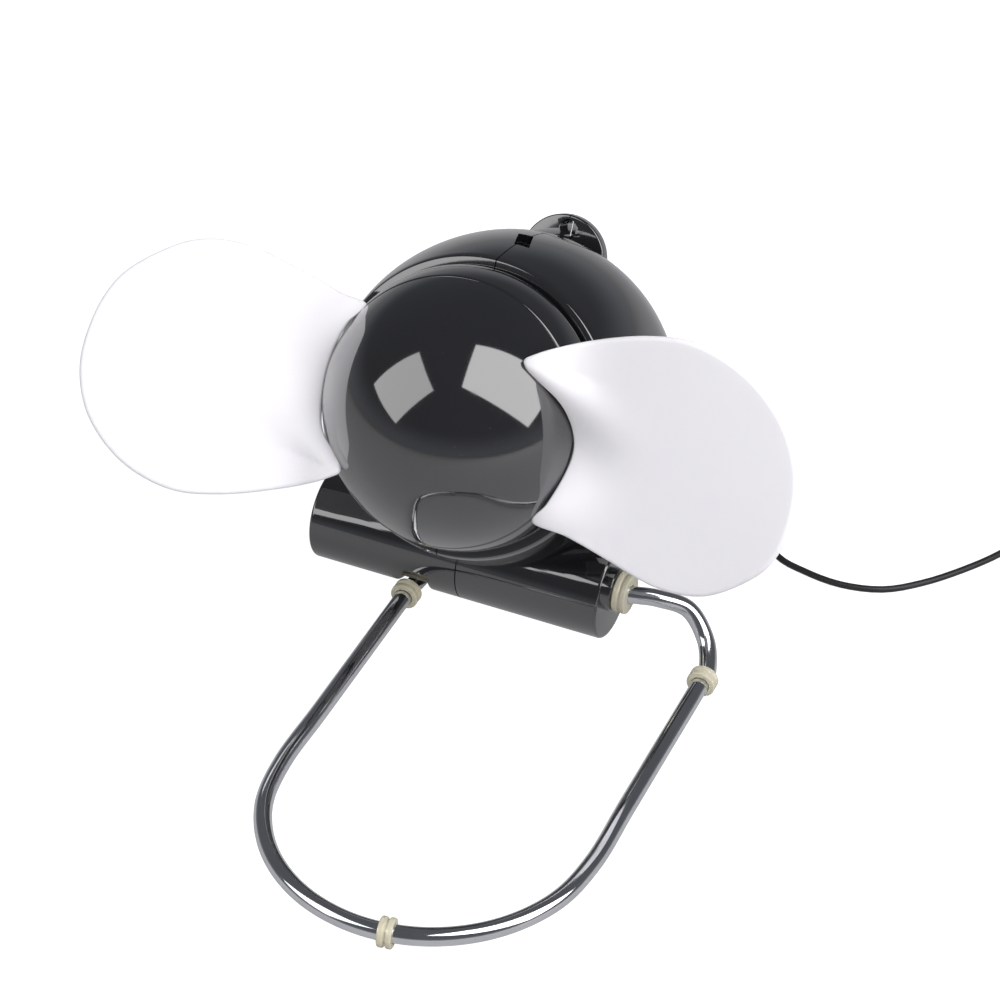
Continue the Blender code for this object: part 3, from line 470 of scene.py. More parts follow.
@dataclass(frozen=True)
class Finish:
    """A surface finish.

    Args:
        name: name of its material.
        slot: the record's material slot that pieces with it belong to; not used.
        colour: base colour, linear.
        tone: colour that the slow mottle leads to, linear.
        roughness: lowest roughness.
        roughness_gain: how much rougher the mottle makes it.
        metallic: 1 for bare metal.
        coat: clear coat weight.
        transmission: how much light goes through.
        subsurface: how much light spreads inside.
        sheen: soft glow at grazing angles.
        grain: bump strength of the fine grain.
        grain_scale: waves of grain per metre.
        mottle_scale: waves of mottle per metre.
        dust: how strongly dust specks show.
        scuff: how much rougher hairlines are.
        specular: specular level.
    """

    name: str
    slot: str
    colour: tuple[float, float, float]
    tone: tuple[float, float, float]
    roughness: float
    roughness_gain: float = 0.05
    metallic: float = 0.0
    coat: float = 0.0
    transmission: float = 0.0
    subsurface: float = 0.0
    sheen: float = 0.0
    grain: float = 0.05
    grain_scale: float = 1500.0
    mottle_scale: float = 40.0
    dust: float = 0.0
    scuff: float = 0.0
    specular: float = 0.5

    def place_group(self, tree: bpy.types.NodeTree, pattern: Pattern, vector, **values: float):
        """Add a shared group to a material and set its numbers.

        Args:
            tree: the material's tree.
            pattern: which group.
            vector: socket with the coordinates.
            values: its number inputs.

        Returns:
            The group node's first output.
        """
        node = tree.nodes.new("ShaderNodeGroup")
        node.node_tree = PATTERNS[pattern]
        tree.links.new(vector, node.inputs["Vector"])
        for name, value in values.items():
            node.inputs[name].default_value = value
        return node.outputs[0]

    def mixed(self, tree: bpy.types.NodeTree, mask, first, second) -> bpy.types.NodeSocket:
        """Mix two colours by a mask; the first may be a socket."""
        node = tree.nodes.new("ShaderNodeMix")
        node.data_type = "RGBA"
        tree.links.new(mask, node.inputs["Factor"])
        if isinstance(first, tuple):
            node.inputs["A"].default_value = (*first, 1.0)
        else:
            tree.links.new(first, node.inputs["A"])
        node.inputs["B"].default_value = (*second, 1.0)
        return node.outputs["Result"]

    def material(self) -> bpy.types.Material:
        """Return the material, made once.

        Base colour goes from colour to tone by the mottle, with dust over it. Roughness is
        the least value plus shares of mottle, dust and scuffs. The grain bumps the normal.

        Returns:
            The material.
        """
        found = bpy.data.materials.get(self.name)
        if found is not None:
            return found
        made = bpy.data.materials.new(self.name)
        made.use_nodes = True
        tree = made.node_tree
        shader = tree.nodes["Principled BSDF"]
        where = tree.nodes.new("ShaderNodeTexCoord").outputs["Object"]
        mottle = self.place_group(tree, Pattern.MOTTLE, where, Scale=self.mottle_scale)
        colour = self.mixed(tree, mottle, self.colour, self.tone)
        rough = math_node(tree, "MULTIPLY_ADD", mottle, self.roughness_gain, self.roughness)
        if self.dust:
            specks = self.place_group(tree, Pattern.DUST, where, Scale=620.0, Size=0.055)
            specks = math_node(tree, "MULTIPLY", specks, self.dust)
            colour = self.mixed(tree, specks, colour, (0.5, 0.5, 0.52))
            rough = math_node(tree, "MULTIPLY_ADD", specks, 0.5, rough)
        if self.scuff:
            hairs = self.place_group(tree, Pattern.SCUFF, where, Scale=260.0)
            rough = math_node(tree, "MULTIPLY_ADD", hairs, self.scuff, rough)
        tree.links.new(colour, shader.inputs["Base Color"])
        tree.links.new(rough, shader.inputs["Roughness"])
        bump = tree.nodes.new("ShaderNodeBump")
        bump.inputs["Strength"].default_value = self.grain
        bump.inputs["Distance"].default_value = 0.1 * MM
        tree.links.new(self.place_group(tree, Pattern.GRAIN, where, Scale=self.grain_scale),
                       bump.inputs["Height"])
        tree.links.new(bump.outputs["Normal"], shader.inputs["Normal"])
        shader.inputs["Metallic"].default_value = self.metallic
        shader.inputs["Coat Weight"].default_value = self.coat
        shader.inputs["Coat Roughness"].default_value = 0.05
        shader.inputs["Coat IOR"].default_value = 1.8
        shader.inputs["Transmission Weight"].default_value = self.transmission
        shader.inputs["Subsurface Weight"].default_value = self.subsurface
        shader.inputs["Subsurface Radius"].default_value = (0.004, 0.004, 0.005)
        shader.inputs["Sheen Weight"].default_value = self.sheen
        shader.inputs["Specular IOR Level"].default_value = self.specular
        return made

    def dress(self, obj: bpy.types.Object) -> None:
        """Give an object this finish in every slot."""
        obj.data.materials.clear()
        obj.data.materials.append(self.material())


GLOSS_BLACK = Finish("gloss_black_plastic", "black", (0.0045, 0.0045, 0.0055), (0.007, 0.007, 0.0085),
                     0.055, 0.03, coat=1.0, grain=0.015, grain_scale=420.0, dust=0.22, scuff=0.05,
                     specular=1.0)
FOAM = Finish("white_foam_sheet", "foam", (0.855, 0.84, 0.87), (0.83, 0.815, 0.845), 0.62, 0.1,
              subsurface=0.25, sheen=0.15, grain=0.25, grain_scale=2600.0, mottle_scale=22.0, specular=0.25)
CHROME = Finish("bright_chromed_wire", "chrome", (0.80, 0.81, 0.83), (0.70, 0.71, 0.74), 0.06, 0.05,
                metallic=1.0, grain=0.02, grain_scale=900.0, mottle_scale=120.0, scuff=0.12)
CLEAR = Finish("clear_vinyl", "clear", (0.95, 0.91, 0.76), (0.88, 0.83, 0.64), 0.16, 0.08,
               transmission=0.55, grain=0.03, grain_scale=700.0, mottle_scale=160.0)
STEEL = Finish("zinc_plated_steel", "steel", (0.55, 0.56, 0.58), (0.45, 0.46, 0.49), 0.26, 0.12,
               metallic=1.0, grain=0.08, scuff=0.2, mottle_scale=200.0)
BRASS = Finish("plain_brass", "brass", (0.72, 0.52, 0.24), (0.58, 0.40, 0.18), 0.28, 0.12,
               metallic=1.0, grain=0.08, mottle_scale=250.0)
COPPER = Finish("enamelled_copper", "winding", (0.60, 0.24, 0.10), (0.45, 0.17, 0.07), 0.3, 0.1,
                metallic=1.0, grain=0.2, mottle_scale=400.0)
FERRITE = Finish("ferrite", "ferrite", (0.05, 0.05, 0.055), (0.08, 0.08, 0.085), 0.6, 0.1, grain=0.3)
NYLON = Finish("white_nylon", "nylon", (0.80, 0.79, 0.75), (0.74, 0.73, 0.68), 0.42, 0.1, subsurface=0.1)
PVC_BLACK = Finish("black_pvc", "rubber", (0.012, 0.012, 0.013), (0.02, 0.02, 0.022), 0.34, 0.12,
                   grain=0.12, grain_scale=2400.0, mottle_scale=150.0)
PVC_RED = Finish("red_pvc", "red_rubber", (0.42, 0.01, 0.01), (0.32, 0.01, 0.01), 0.36, 0.1)
CAD_FINISHES = {
    "brass": BRASS, "steel": STEEL, "nylon": NYLON, "winding": COPPER, "ferrite": FERRITE,
    "rubber": PVC_BLACK, "red_rubber": PVC_RED, "black": GLOSS_BLACK, "clear": CLEAR,
    "chrome": CHROME, "foam": FOAM,
}


def settle(obj: bpy.types.Object, finish: Finish, body: str, *nodes: str) -> bpy.types.Object:
    """Dress a piece, let it ride on a body and stand for CAD nodes.

    Args:
        obj: the piece.
        finish: its finish.
        body: the body it rides on.
        nodes: the CAD nodes that it replaces.

    Returns:
        The piece.
    """
    finish.dress(obj)
    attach(obj, body)
    if nodes:
        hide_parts(*nodes)
    LOG.info("made %s: %d faces", obj.name, len(obj.data.polygons))
    return obj


# ------------------------------------------------------------------ spinner

@dataclass
class Spinner:
    """The turning ball in front: dome, rear cup and two foam blades."""

    radius: float = 31.7
    wall: float = 1.8
    seam: float = 11.6
    gap: float = 0.3
    cup_rear: float = 2.2
    blade_thickness: float = 1.6
    cone: float = 0.1865
    pitch: float = 0.2466
    blade_at: tuple[float, float] = (33.8, 13.4)
    blade_middle: tuple[float, float] = (52.0, 3.0)
    root_ends: tuple[float, float] = (-19.0, 16.5)
    root_reach: float = 9.0
    root_sink: float = 0.4
    outline: list[tuple[float, float]] = field(default_factory=lambda: [
        (23.7, -18.2), (26.6, -13.4), (28.9, -6.5), (29.6, 0.0), (28.2, 6.0), (25.2, 10.7), (18.3, 16.0),
        (20.5, 19.0), (31.0, 24.3), (44.0, 28.8), (55.5, 30.3), (67.5, 27.0), (77.2, 19.4), (82.2, 9.5),
        (82.6, -1.0), (80.2, -10.0), (75.0, -16.6), (65.5, -23.0), (54.5, -24.6), (42.5, -22.2),
        (31.0, -19.4)])

    def arc(self, radius: float, low: float, high: float, count: int) -> np.ndarray:
        """Return (r, z) points on a sphere about the dome's middle, from one height to another."""
        angle = np.linspace(math.asin(low / radius), math.asin(min(high / radius, 1.0)), count)
        return np.stack([radius * np.cos(angle), radius * np.sin(angle)], 1)

    def dome(self) -> bpy.types.Object:
        """Make the front dome: a spherical shell whose rim is softened."""
        soft = 0.25
        outer = self.arc(self.radius, self.seam + soft, self.radius, 56)
        inner = self.arc(self.radius - self.wall, self.seam, self.radius - self.wall, 24)[::-1]
        rim_r = math.sqrt(self.radius ** 2 - self.seam ** 2) - soft
        profile = np.concatenate([inner, [[rim_r, self.seam]], outer])
        profile[[0, -1], 0] = 0.0
        return revolve("front_dome_shell", profile, HEAD, 192)

    def cup(self) -> bpy.types.Object:
        """Make the rear cup: a spherical band with a flat rear disc round the hub."""
        top, soft, bore = self.seam - self.gap, 0.25, 4.9
        outer = self.arc(self.radius, self.cup_rear + 0.5, top - soft, 24)
        inner = self.arc(self.radius - self.wall, self.cup_rear + self.wall, top, 12)[::-1]
        rear_r = math.sqrt(self.radius ** 2 - self.cup_rear ** 2)
        edge = [[bore, self.cup_rear], [rear_r - 0.5, self.cup_rear], [rear_r - 0.1, self.cup_rear + 0.2]]
        rim_r = math.sqrt(self.radius ** 2 - top ** 2) - soft
        profile = np.concatenate([edge, outer, [[rim_r, top]], inner, [[bore, self.cup_rear + self.wall]]])
        return revolve("rear_cup_shell", profile, HEAD, 192)

    def root_line(self, across: np.ndarray) -> np.ndarray:
        """Return how far out the blade's root edge lies: a cubic through the root's points."""
        root = np.array(self.outline[:7])
        return np.polyval(np.polyfit(root[:, 1], root[:, 0], 3), across)

    def plane(self, out: np.ndarray, across: np.ndarray) -> np.ndarray:
        """Return the height of the blade's flat part: a plane that is coned and pitched."""
        return self.blade_at[1] + self.cone * (out - self.blade_at[0]) + self.pitch * across

    def blade_height(self, out: np.ndarray, across: np.ndarray) -> np.ndarray:
        """Return the blade's height along the axis.

        The sheet is the plane, and near its root it is pressed onto the dome: there the
        difference between the sphere and the plane is added, fading as exp(-(d / reach)^2)
        with the distance d from the root. A slight wave over the sheet keeps it soft.

        Args:
            out: distance from the axis, along the blade.
            across: distance to the side.

        Returns:
            Heights.
        """
        side = np.clip(across, *self.root_ends)
        root = self.root_line(side)
        ball = np.sqrt(np.clip(self.radius ** 2 - root ** 2 - side ** 2, 0, None))
        lift = ball - self.plane(root, side)
        away = np.clip(out - root, 0, None) / self.root_reach
        wave = 0.22 * np.sin(out / 11.0) * np.cos(across / 14.0 + 0.6)
        fade = np.exp(-away ** 2)
        return self.plane(out, across) + lift * fade + wave * (1 - fade)

    def blade(self, side: int) -> bpy.types.Object:
        """Make a foam blade: rings that shrink from the outline to a middle point.

        Point = middle + s (outline - middle), at the blade's height, half the sheet's
        thickness to either side along the normal; s runs from 0 to 1 on the front and back
        again behind, and near 1 the thickness falls as a circle's, so that the edge is round.

        Args:
            side: 0 for the right blade and 1 for the left one.

        Returns:
            The blade.
        """
        line = smooth_curve(np.array(self.outline), 14, closed=True)
        rounding_from = 0.965
        flat = np.linspace(0, rounding_from, 26)
        turn = np.linspace(0, np.pi / 2, 8)[1:]
        share = np.concatenate([flat, rounding_from + (1 - rounding_from) * np.sin(turn)])
        half = np.concatenate([np.ones(len(flat)), np.cos(turn)]) * self.blade_thickness / 2
        share, half = np.concatenate([share, share[-2::-1]]), np.concatenate([half, -half[-2::-1]])
        middle = np.array(self.blade_middle)
        spots = middle + share[:, None, None] * (line - middle)
        out, across = spots[..., 0], spots[..., 1]
        step = 0.05
        height = self.blade_height(out, across)
        slope_out = (self.blade_height(out + step, across) - height) / step
        slope_across = (self.blade_height(out, across + step) - height) / step
        normal = unit(np.stack([-slope_out, -slope_across, np.ones_like(out)], -1))
        points = np.stack([out, across, height], -1) + normal * half[:, None, None]
        distance = np.linalg.norm(points, axis=-1, keepdims=True)
        least = self.radius - self.root_sink
        points = np.where(distance < least, points * least / distance, points)
        if side:
            points = points * np.array([-1.0, -1.0, 1.0])
        rows, columns = points.shape[:2]
        return mesh_object(f"foam_blade_{side + 1}", HEAD.world(points.reshape(-1, 3)),
                           grid_faces(rows, columns, False, True), 60)

    def build(self) -> None:
        """Make every piece of the spinner."""
        settle(self.dome(), GLOSS_BLACK, "rotor", "front_dome")
        settle(self.cup(), GLOSS_BLACK, "rotor", "rear_cup")
        for side in (0, 1):
            settle(self.blade(side), FOAM, "rotor", f"blade_{side + 1}")


# ------------------------------------------------------------------ housing

@dataclass
class Housing:
    """The two moulded halves behind the spinner, with barrel, ear and latch."""

    radius: float = 38.2
    middle: float = -27.2
    front_half: float = 56.9
    rear_half: float = 38.2
    rim: float = 0.4
    shell: float = 2.2
    split: float = 0.13
    plate_z: float = -3.0
    plate_t: float = 2.0
    plate_r: float = 31.7
    ledge: float = 2.6
    ledge_depth: float = 1.6
    lip: float = 1.0
    barrel_radius: float = 11.1
    barrel_ends: tuple[float, float] = (-37.3, 34.6)
    barrel_at: tuple[float, float] = (-1.7, 11.3)
    bore_radius: float = 2.3
    boss_radius: float = 5.0
    boss_length: float = 2.3
    ear_z: float = -44.0
    ear_thickness: float = 3.2
    ear_radius: float = 10.2
    ear_w: float = 31.7
    ear_hole_w: float = 38.9
    ear_hole_radius: float = 2.0
    # The thin floor left at the bottom of the ear hole is painted shade: a black sheet that stands in for the
    # shadow seen through the hole.
    ear_hole_shade_web: float = 0.5
    window: tuple[float, float, float] = (3.6, -14.6, 9.4)
    window_slant: float = 0.3
    slot_sides: tuple[float, float] = (-16.6, -7.2)
    slot_top: float = 7.4
    slot_rear: float = 5.5
    screws: tuple[tuple[float, float], ...] = ((-20.0, -44.0), (18.0, -50.0))
    screw_head: float = 2.5
    screw_hole: float = 1.6
    pillar_wall: float = 1.9
    screw_seat: float = -4.0
    cable_hole: float = 2.3

    def egg_radius(self, z: np.ndarray, inset: float) -> np.ndarray:
        """Return the egg's radius at heights along the axis, inside a wall.

        It is an ellipse of half length front_half ahead of the middle and rear_half behind.
        """
        half = np.where(z > self.middle, self.front_half, self.rear_half) - inset
        return (self.radius - inset) * np.sqrt(np.clip(1 - ((z - self.middle) / half) ** 2, 0, None))

    def egg(self, inset: float, front: float, count: int = 44) -> np.ndarray:
        """Return the egg's (r, z) profile from its rear pole to a height in front."""
        angle = np.linspace(-np.pi / 2, 0, count)[:-1]
        rear = np.stack([(self.radius - inset) * np.cos(angle),
                         self.middle + (self.rear_half - inset) * np.sin(angle)], 1)
        z = np.linspace(self.middle, front, count // 2)
        rear[0, 0] = 0.0
        return np.concatenate([rear, np.stack([self.egg_radius(z, inset), z], 1)])

    def ball(self) -> bpy.types.Object:
        """Make the outer egg with a softened rim."""
        rim = self.rim
        body = self.egg(0.0, rim - 0.5)
        rim_r = float(self.egg_radius(np.array(rim), 0.0))
        corner = [[rim_r - 0.06, rim - 0.18], [rim_r - 0.22, rim - 0.04], [rim_r - 0.5, rim], [0.0, rim]]
        return revolve("housing", np.concatenate([body, corner]), HEAD, 160)

    def barrel(self) -> bpy.types.Object:
        """Make the barrel, whose ends have softened edges."""
        low, high = self.barrel_ends
        r, soft = self.barrel_radius, 0.8
        ends = rounded([(0, low, 0), (r, low, soft), (r, high, soft), (0, high, 0)], 8)
        place = TABLE.moved((0.0, *self.barrel_at), "x")
        return revolve("barrel", ends, place, 128)

    def additions(self) -> list[bpy.types.Object]:
        """Make the barrel, the ear and the boss, which join the ball."""
        r, t = self.ear_radius, self.ear_thickness / 2
        disc = rounded([(0, -t, 0), (r, -t, 0.5), (r, t, 0.5), (0, t, 0)])
        ear = revolve("ear", disc, HEAD.moved((0.0, self.ear_w, self.ear_z)), 96)
        root, tip = self.barrel_ends[1] - 1, self.barrel_ends[1] + self.boss_length
        boss = rounded([(0, root, 0), (self.boss_radius, root, 0), (self.boss_radius, tip, 0.4), (0, tip, 0)])
        return [self.barrel(), ear, revolve("boss", boss, bore_line(), 64)]

    def hollows(self) -> list[bpy.types.Object]:
        """Make the spaces inside the head, with the plate's groove, and inside the barrel."""
        seat = self.plate_z - self.plate_t
        below = seat - self.ledge_depth
        ledge_r, lip_r, rim = self.plate_r - self.ledge, self.plate_r - self.lip, self.rim
        inner = self.egg(self.shell, below, 24)
        groove = np.array([
            [ledge_r, below], [ledge_r, seat], [self.plate_r, seat], [self.plate_r, rim - 1.4],
            [lip_r, rim - 0.5], [lip_r, rim - 0.15], [lip_r + 0.15, rim], [lip_r + 0.15, rim + 1.0],
            [0.0, rim + 1.0]])
        low, high = self.barrel_ends
        wall = self.shell
        barrel = TABLE.moved((0.0, *self.barrel_at), "x")
        return [revolve("hollow", np.concatenate([inner, groove]), HEAD, 96),
                rod("barrel_hollow", self.barrel_radius - wall, low + wall, high - wall, barrel, 96)]

    def screw_bosses(self) -> list[bpy.types.Object]:
        """Make the pillars that the case screws go through, cut off inside the wall."""
        made = []
        for w, z in self.screws:
            pillar = rod("pillar", self.screw_head + self.pillar_wall, -self.radius, self.radius,
                         HEAD.moved((0.0, w, z), "x"), 48)
            inside = np.concatenate([self.egg(self.shell / 2, self.rim, 24), [[0.0, self.rim]]])
            skin = revolve("skin", inside, HEAD, 64)
            combine(pillar, skin, "INTERSECT")
            made.append(pillar)
        return made

    def openings(self) -> list[bpy.types.Object]:
        """Make the bore, slot, ear hole, latch window, screw wells and cable hole."""
        y = self.barrel_at[0]
        width, at, long = self.window
        made = [rod("bore", self.bore_radius, -1.0, self.barrel_ends[1] + 5, bore_line(), 48),
                box_object("slot", (self.slot_sides[0], y - self.barrel_radius - 1, -2.0),
                           (self.slot_sides[1], self.slot_rear, self.slot_top), TABLE),
                # The ear hole stops short of the ear's far face; its thin black floor is painted shade for the
                # shadow seen through the hole.
                rod("ear_hole", self.ear_hole_radius, self.ear_z - self.ear_thickness / 2 + self.ear_hole_shade_web,
                    self.ear_z + 9, HEAD.moved((0.0, self.ear_hole_w, 0.0)), 48),
                box_object("window", (-width / 2, 25.0, at - long / 2), (width / 2, 45.0, at + long / 2),
                           HEAD, self.window_slant),
                rod("cable_hole", self.cable_hole, self.middle - self.rear_half - 5,
                    self.middle - self.rear_half + self.shell + 5, HEAD, 40)]
        for w, z in self.screws:
            place = HEAD.moved((0.0, w, z), "x")
            made.append(rod("screw_hole", self.screw_hole, self.screw_seat - 1, 7.0, place, 32))
            made.append(rod("screw_well", self.screw_head + 0.3, -60.0, self.screw_seat, place, 48))
        return made

    def hook(self) -> bpy.types.Object:
        """Make the right half's catch, which shows in the window across the seam."""
        width, at, long = self.window
        half = long / 2 - 0.3
        top = float(self.egg_radius(np.array(at + half), 0.0)) - 1.0
        return box_object("hook", (-width / 2 + 0.3, top - 2.0, at - half),
                          (width / 2 - 0.3, top, at + half), HEAD, self.window_slant)

    def build(self) -> None:
        """Make both halves."""
        body = self.ball()
        for extra in self.additions():
            combine(body, extra, "UNION")
        for space in self.hollows():
            combine(body, space, "DIFFERENCE")
        for pillar in self.screw_bosses():
            combine(body, pillar, "UNION")
        for space in self.openings():
            combine(body, space, "DIFFERENCE")
        left = body
        right = bpy.data.objects.new("housing_right_shell", body.data.copy())
        bpy.context.scene.collection.objects.link(right)
        trim(left, -self.split, -1)
        trim(right, self.split, 1)
        combine(right, self.hook(), "UNION")
        left.name = "housing_left_shell"
        for obj, node in ((left, "housing_left"), (right, "housing_right")):
            shade(obj, 32.0)
            settle(obj, GLOSS_BLACK, "head", node)


def bore_line() -> Placement:
    """Return axes whose Z runs along the stand's bore, to the right."""
    y, z = joint_point("stand_tilt")[1:]
    return Placement(np.array([0.0, y, z]), np.array([[0.0, 0.0, 1.0], [1.0, 0.0, 0.0], [0.0, 1.0, 0.0]]))


# ------------------------------------------------------------------ stand

@dataclass
class Stand:
    """The bent wire with its clear sleeves."""

    wire_radius: float = 2.0
    middle: float = 24.5
    width: float = 73.0
    front: float = -112.3
    foot: float = 3.5
    ring_inner: float = 2.12
    ring_length: float = 3.1
    ring_radius: float = 3.3
    ring_y: float = -13.4
    front_turn: float = 9.6
    bush_at: float = 38.7
    bush_radius: float = 4.7
    bush_length: float = 3.0
    pin_ends: tuple[float, float] = (17.0, 15.6)
    straight: float = 15.7
    corner: tuple[tuple[float, float, float], ...] = (
        (21.5, 1.8, -0.5), (28.0, 4.5, -3.6), (33.3, 2.1, -8.9), (36.2, -3.8, -12.0))

    def path(self) -> np.ndarray:
        """Return the wire's centreline: pin, corner, leg, half circle, leg, corner, pin.

        Returns:
            (n, 3) world points.
        """
        bore = np.array([0.0, joint_point("stand_tilt")[1] - LAYOUT_Y, joint_point("stand_tilt")[2]])
        shift = [self.middle, 0, 0]
        corner = np.array(self.corner)
        right = corner + bore + shift
        left = (corner * [-1, 1, 1] + bore + shift)[::-1]
        half, straight = self.width / 2, self.straight
        lead = [(x, *bore[1:]) for x in (self.pin_ends[0], 28.0, self.middle + 12, self.middle + straight)]
        tail = [(x, *bore[1:]) for x in (self.middle - straight, self.middle - 12, self.pin_ends[1])]
        leg = np.array([(half, self.ring_y - 1.0, self.foot), (half, -38.0, self.foot),
                        (half, -58.0, self.foot)])
        angle = np.linspace(0, np.pi, 9)
        bend = np.stack([half * np.cos(angle), self.front + half - half * np.sin(angle),
                         np.full(9, self.foot)], 1)
        route = np.concatenate([lead, right, leg + shift, bend + shift,
                                (leg * [-1, 1, 1])[::-1] + shift, left, tail])
        return TABLE.world(smooth_curve(route, 16))

    def sleeve(self, name: str, outer: float, length: float, centre: tuple[float, float, float],
               direction: tuple[float, float, float]) -> bpy.types.Object:
        """Make a clear sleeve: a thick ring with a waist between two soft beads.

        Args:
            name: name of the piece.
            outer: its outer radius.
            length: its length.
            centre: layout place of its middle.
            direction: its axis.

        Returns:
            The sleeve.
        """
        axis = unit(np.array(direction, float))
        side = unit(np.cross(axis, [0.0, 0.0, 1.0]))
        place = Placement(TABLE.world(np.array(centre)), np.stack([side, np.cross(axis, side), axis], 1))
        h, inner, waist = length / 2, self.ring_inner, outer - 0.45
        profile = rounded([(inner, -h, 0.15), (outer, -h, 0.4), (outer, -h * 0.25, 0.25),
                           (waist, -h * 0.12, 0.1), (waist, h * 0.12, 0.1), (outer, h * 0.25, 0.25),
                           (outer, h, 0.4), (inner, h, 0.15)])
        return revolve(name, profile, place, 64, 60)

    def build(self) -> None:
        """Make the wire and its sleeves."""
        wire = sweep("chromed_wire", self.path(), self.wire_radius, 32, 0.5)
        settle(wire, CHROME, "stand", "wire_stand")
        half, turn = self.width / 2, math.radians(self.front_turn)
        front = (self.middle + half * math.sin(turn), self.front + half * (1 - math.cos(turn)), self.foot)
        bore = joint_point("stand_tilt")
        rings = {
            "left": ((self.middle - half, self.ring_y, self.foot), (0, 1, 0)),
            "right": ((self.middle + half, self.ring_y, self.foot), (0, 1, 0)),
            "front": (front, (math.cos(turn), math.sin(turn), 0)),
        }
        for name, (centre, direction) in rings.items():
            ring = self.sleeve(f"clear_ring_{name}", self.ring_radius, self.ring_length, centre, direction)
            settle(ring, CLEAR, "stand", f"ring_{name}")
        bush = self.sleeve("clear_bush", self.bush_radius, self.bush_length,
                           (self.bush_at, bore[1] - LAYOUT_Y, bore[2]), (1, 0, 0))
        settle(bush, CLEAR, "stand", "barrel_bush")


# ------------------------------------------------------------------ supply

@dataclass
class Supply:
    """The cable with its strain relief, coil and plug."""

    radius: float = 0.8
    table: float = 1.0
    length: float = 1200.0
    rear: float = -65.4
    relief_length: float = 9.0
    coil_at: tuple[float, float] = (124.5, 86.0)
    coil_radius: float = 9.6
    turns_wide: int = 4
    plug_from_coil: tuple[float, float] = (13.4, -31.0)
    plug_turn: float = -88.0
    plug_body: tuple[float, float, float] = (25.0, 15.6, 8.0)
    plug_shell: tuple[float, float, float] = (15.0, 12.0, 4.5)
    gap: float = 0.3
    lying: tuple[tuple[float, float, float], ...] = (
        (4.0, 71.5, 11.0), (13.0, 77.0, 4.6), (25.0, 75.0, 1.5), (37.0, 64.0, 1.0), (48.0, 48.5, 1.0),
        (59.5, 38.0, 1.0), (67.5, 35.0, 1.0), (77.0, 33.9, 1.0), (86.4, 36.2, 1.0), (94.0, 42.2, 1.0),
        (101.0, 50.5, 1.0), (107.3, 60.1, 1.0), (111.0, 69.5, 1.0), (112.2, 79.5, 1.0))

    def plug_point(self) -> np.ndarray:
        """Return the layout place where the cable enters the plug."""
        x, y = np.array(self.coil_at) + np.array(self.plug_from_coil)
        return np.array([x, y, self.plug_body[2] / 2 + self.gap])

    def ahead(self) -> np.ndarray:
        """Return the way that the plug points."""
        turn = math.radians(self.plug_turn)
        return np.array([math.cos(turn), math.sin(turn), 0.0])

    def coil(self) -> np.ndarray:
        """Return the coil's turns, clockwise from the left, in layers of turns side by side.

        The angle falls evenly. The place in the stack follows a saw that goes inwards on
        one layer and outwards on the next, eased at each step, a diameter from turn to turn.

        Returns:
            (n, 3) layout points.
        """
        pitch, wide = 2 * self.radius + 0.02, self.turns_wide
        turns = wide * wide - 0.5
        t = np.linspace(0, turns, int(turns * 48) + 1)
        angle = np.pi - 2 * np.pi * t
        slot = np.floor(t)
        ease = np.clip((t - slot - 0.75) / 0.25, 0, 1)
        slot = slot + ease * ease * (3 - 2 * ease)
        layer = np.floor(slot / wide + 1e-9)
        step = slot - layer * wide
        up = np.clip(step - (wide - 1), 0, 1)
        step = np.clip(step, 0, wide - 1)
        inwards = np.where(layer % 2 == 0, step, wide - 1 - step)
        radius = self.coil_radius + pitch * ((wide - 1) / 2 - inwards)
        z = self.table + pitch * (layer + up)
        return np.stack([self.coil_at[0] + radius * np.cos(angle),
                         self.coil_at[1] + radius * np.sin(angle), z], 1)

    def path(self) -> np.ndarray:
        """Return the cable's whole centreline, from inside the strain relief to the plug."""
        out = np.array([0.0, 0.0, -1.0])
        rear = np.array([0.0, 0.0, self.rear])
        leaving = HEAD.world(rear + np.outer([self.relief_length * 0.6, self.relief_length + 1.0], out))
        first = np.concatenate([leaving, TABLE.world(np.array(self.lying))])
        coil = TABLE.world(self.coil())[::12]
        end = self.plug_point()
        centre = np.array([*self.coil_at, 0.0])
        tail = np.array([[12.35, -6.5, 4.9], [12.55, -13.0, 2.8], [12.85, -19.0, 1.5], [13.15, -25.0, 2.2]])
        last = np.concatenate([TABLE.world(tail + centre), TABLE.world(end - self.ahead() * self.gap)[None]])
        return smooth_curve(np.concatenate([first[:-1], coil, last]), 4)

    def relief(self) -> bpy.types.Object:
        """Make the strain relief: a flange in the housing and a ribbed, tapering tail."""
        inside = self.radius + 0.1
        ribs = []
        for i in range(6):
            z = self.rear - 2.2 - i * 1.12
            r = 2.5 - i * 0.14
            ribs += [(r, z, 0.12), (r - 0.02, z - 0.6, 0.12), (r - 0.45, z - 0.66, 0.05),
                     (r - 0.5, z - 1.06, 0.05)]
        profile = [(inside, self.rear + 4.0, 0), (inside, self.rear - self.relief_length, 0.1),
                   (inside + 0.7, self.rear - self.relief_length, 0.2), *ribs[::-1],
                   (3.2, self.rear - 1.9, 0.3), (3.2, self.rear - 0.3, 0.2), (2.0, self.rear - 0.3, 0),
                   (2.0, self.rear + 4.0, 0)]
        return revolve("strain_relief_sleeve", rounded(profile, 4), HEAD, 56, 50)

    def plug_place(self) -> Placement:
        """Return axes at the plug's cable end, with X the way that it points."""
        ahead = self.ahead()
        side = np.cross([0.0, 0.0, 1.0], ahead)
        return Placement(TABLE.world(self.plug_point()), np.stack([ahead, side, [0.0, 0.0, 1.0]], 1))

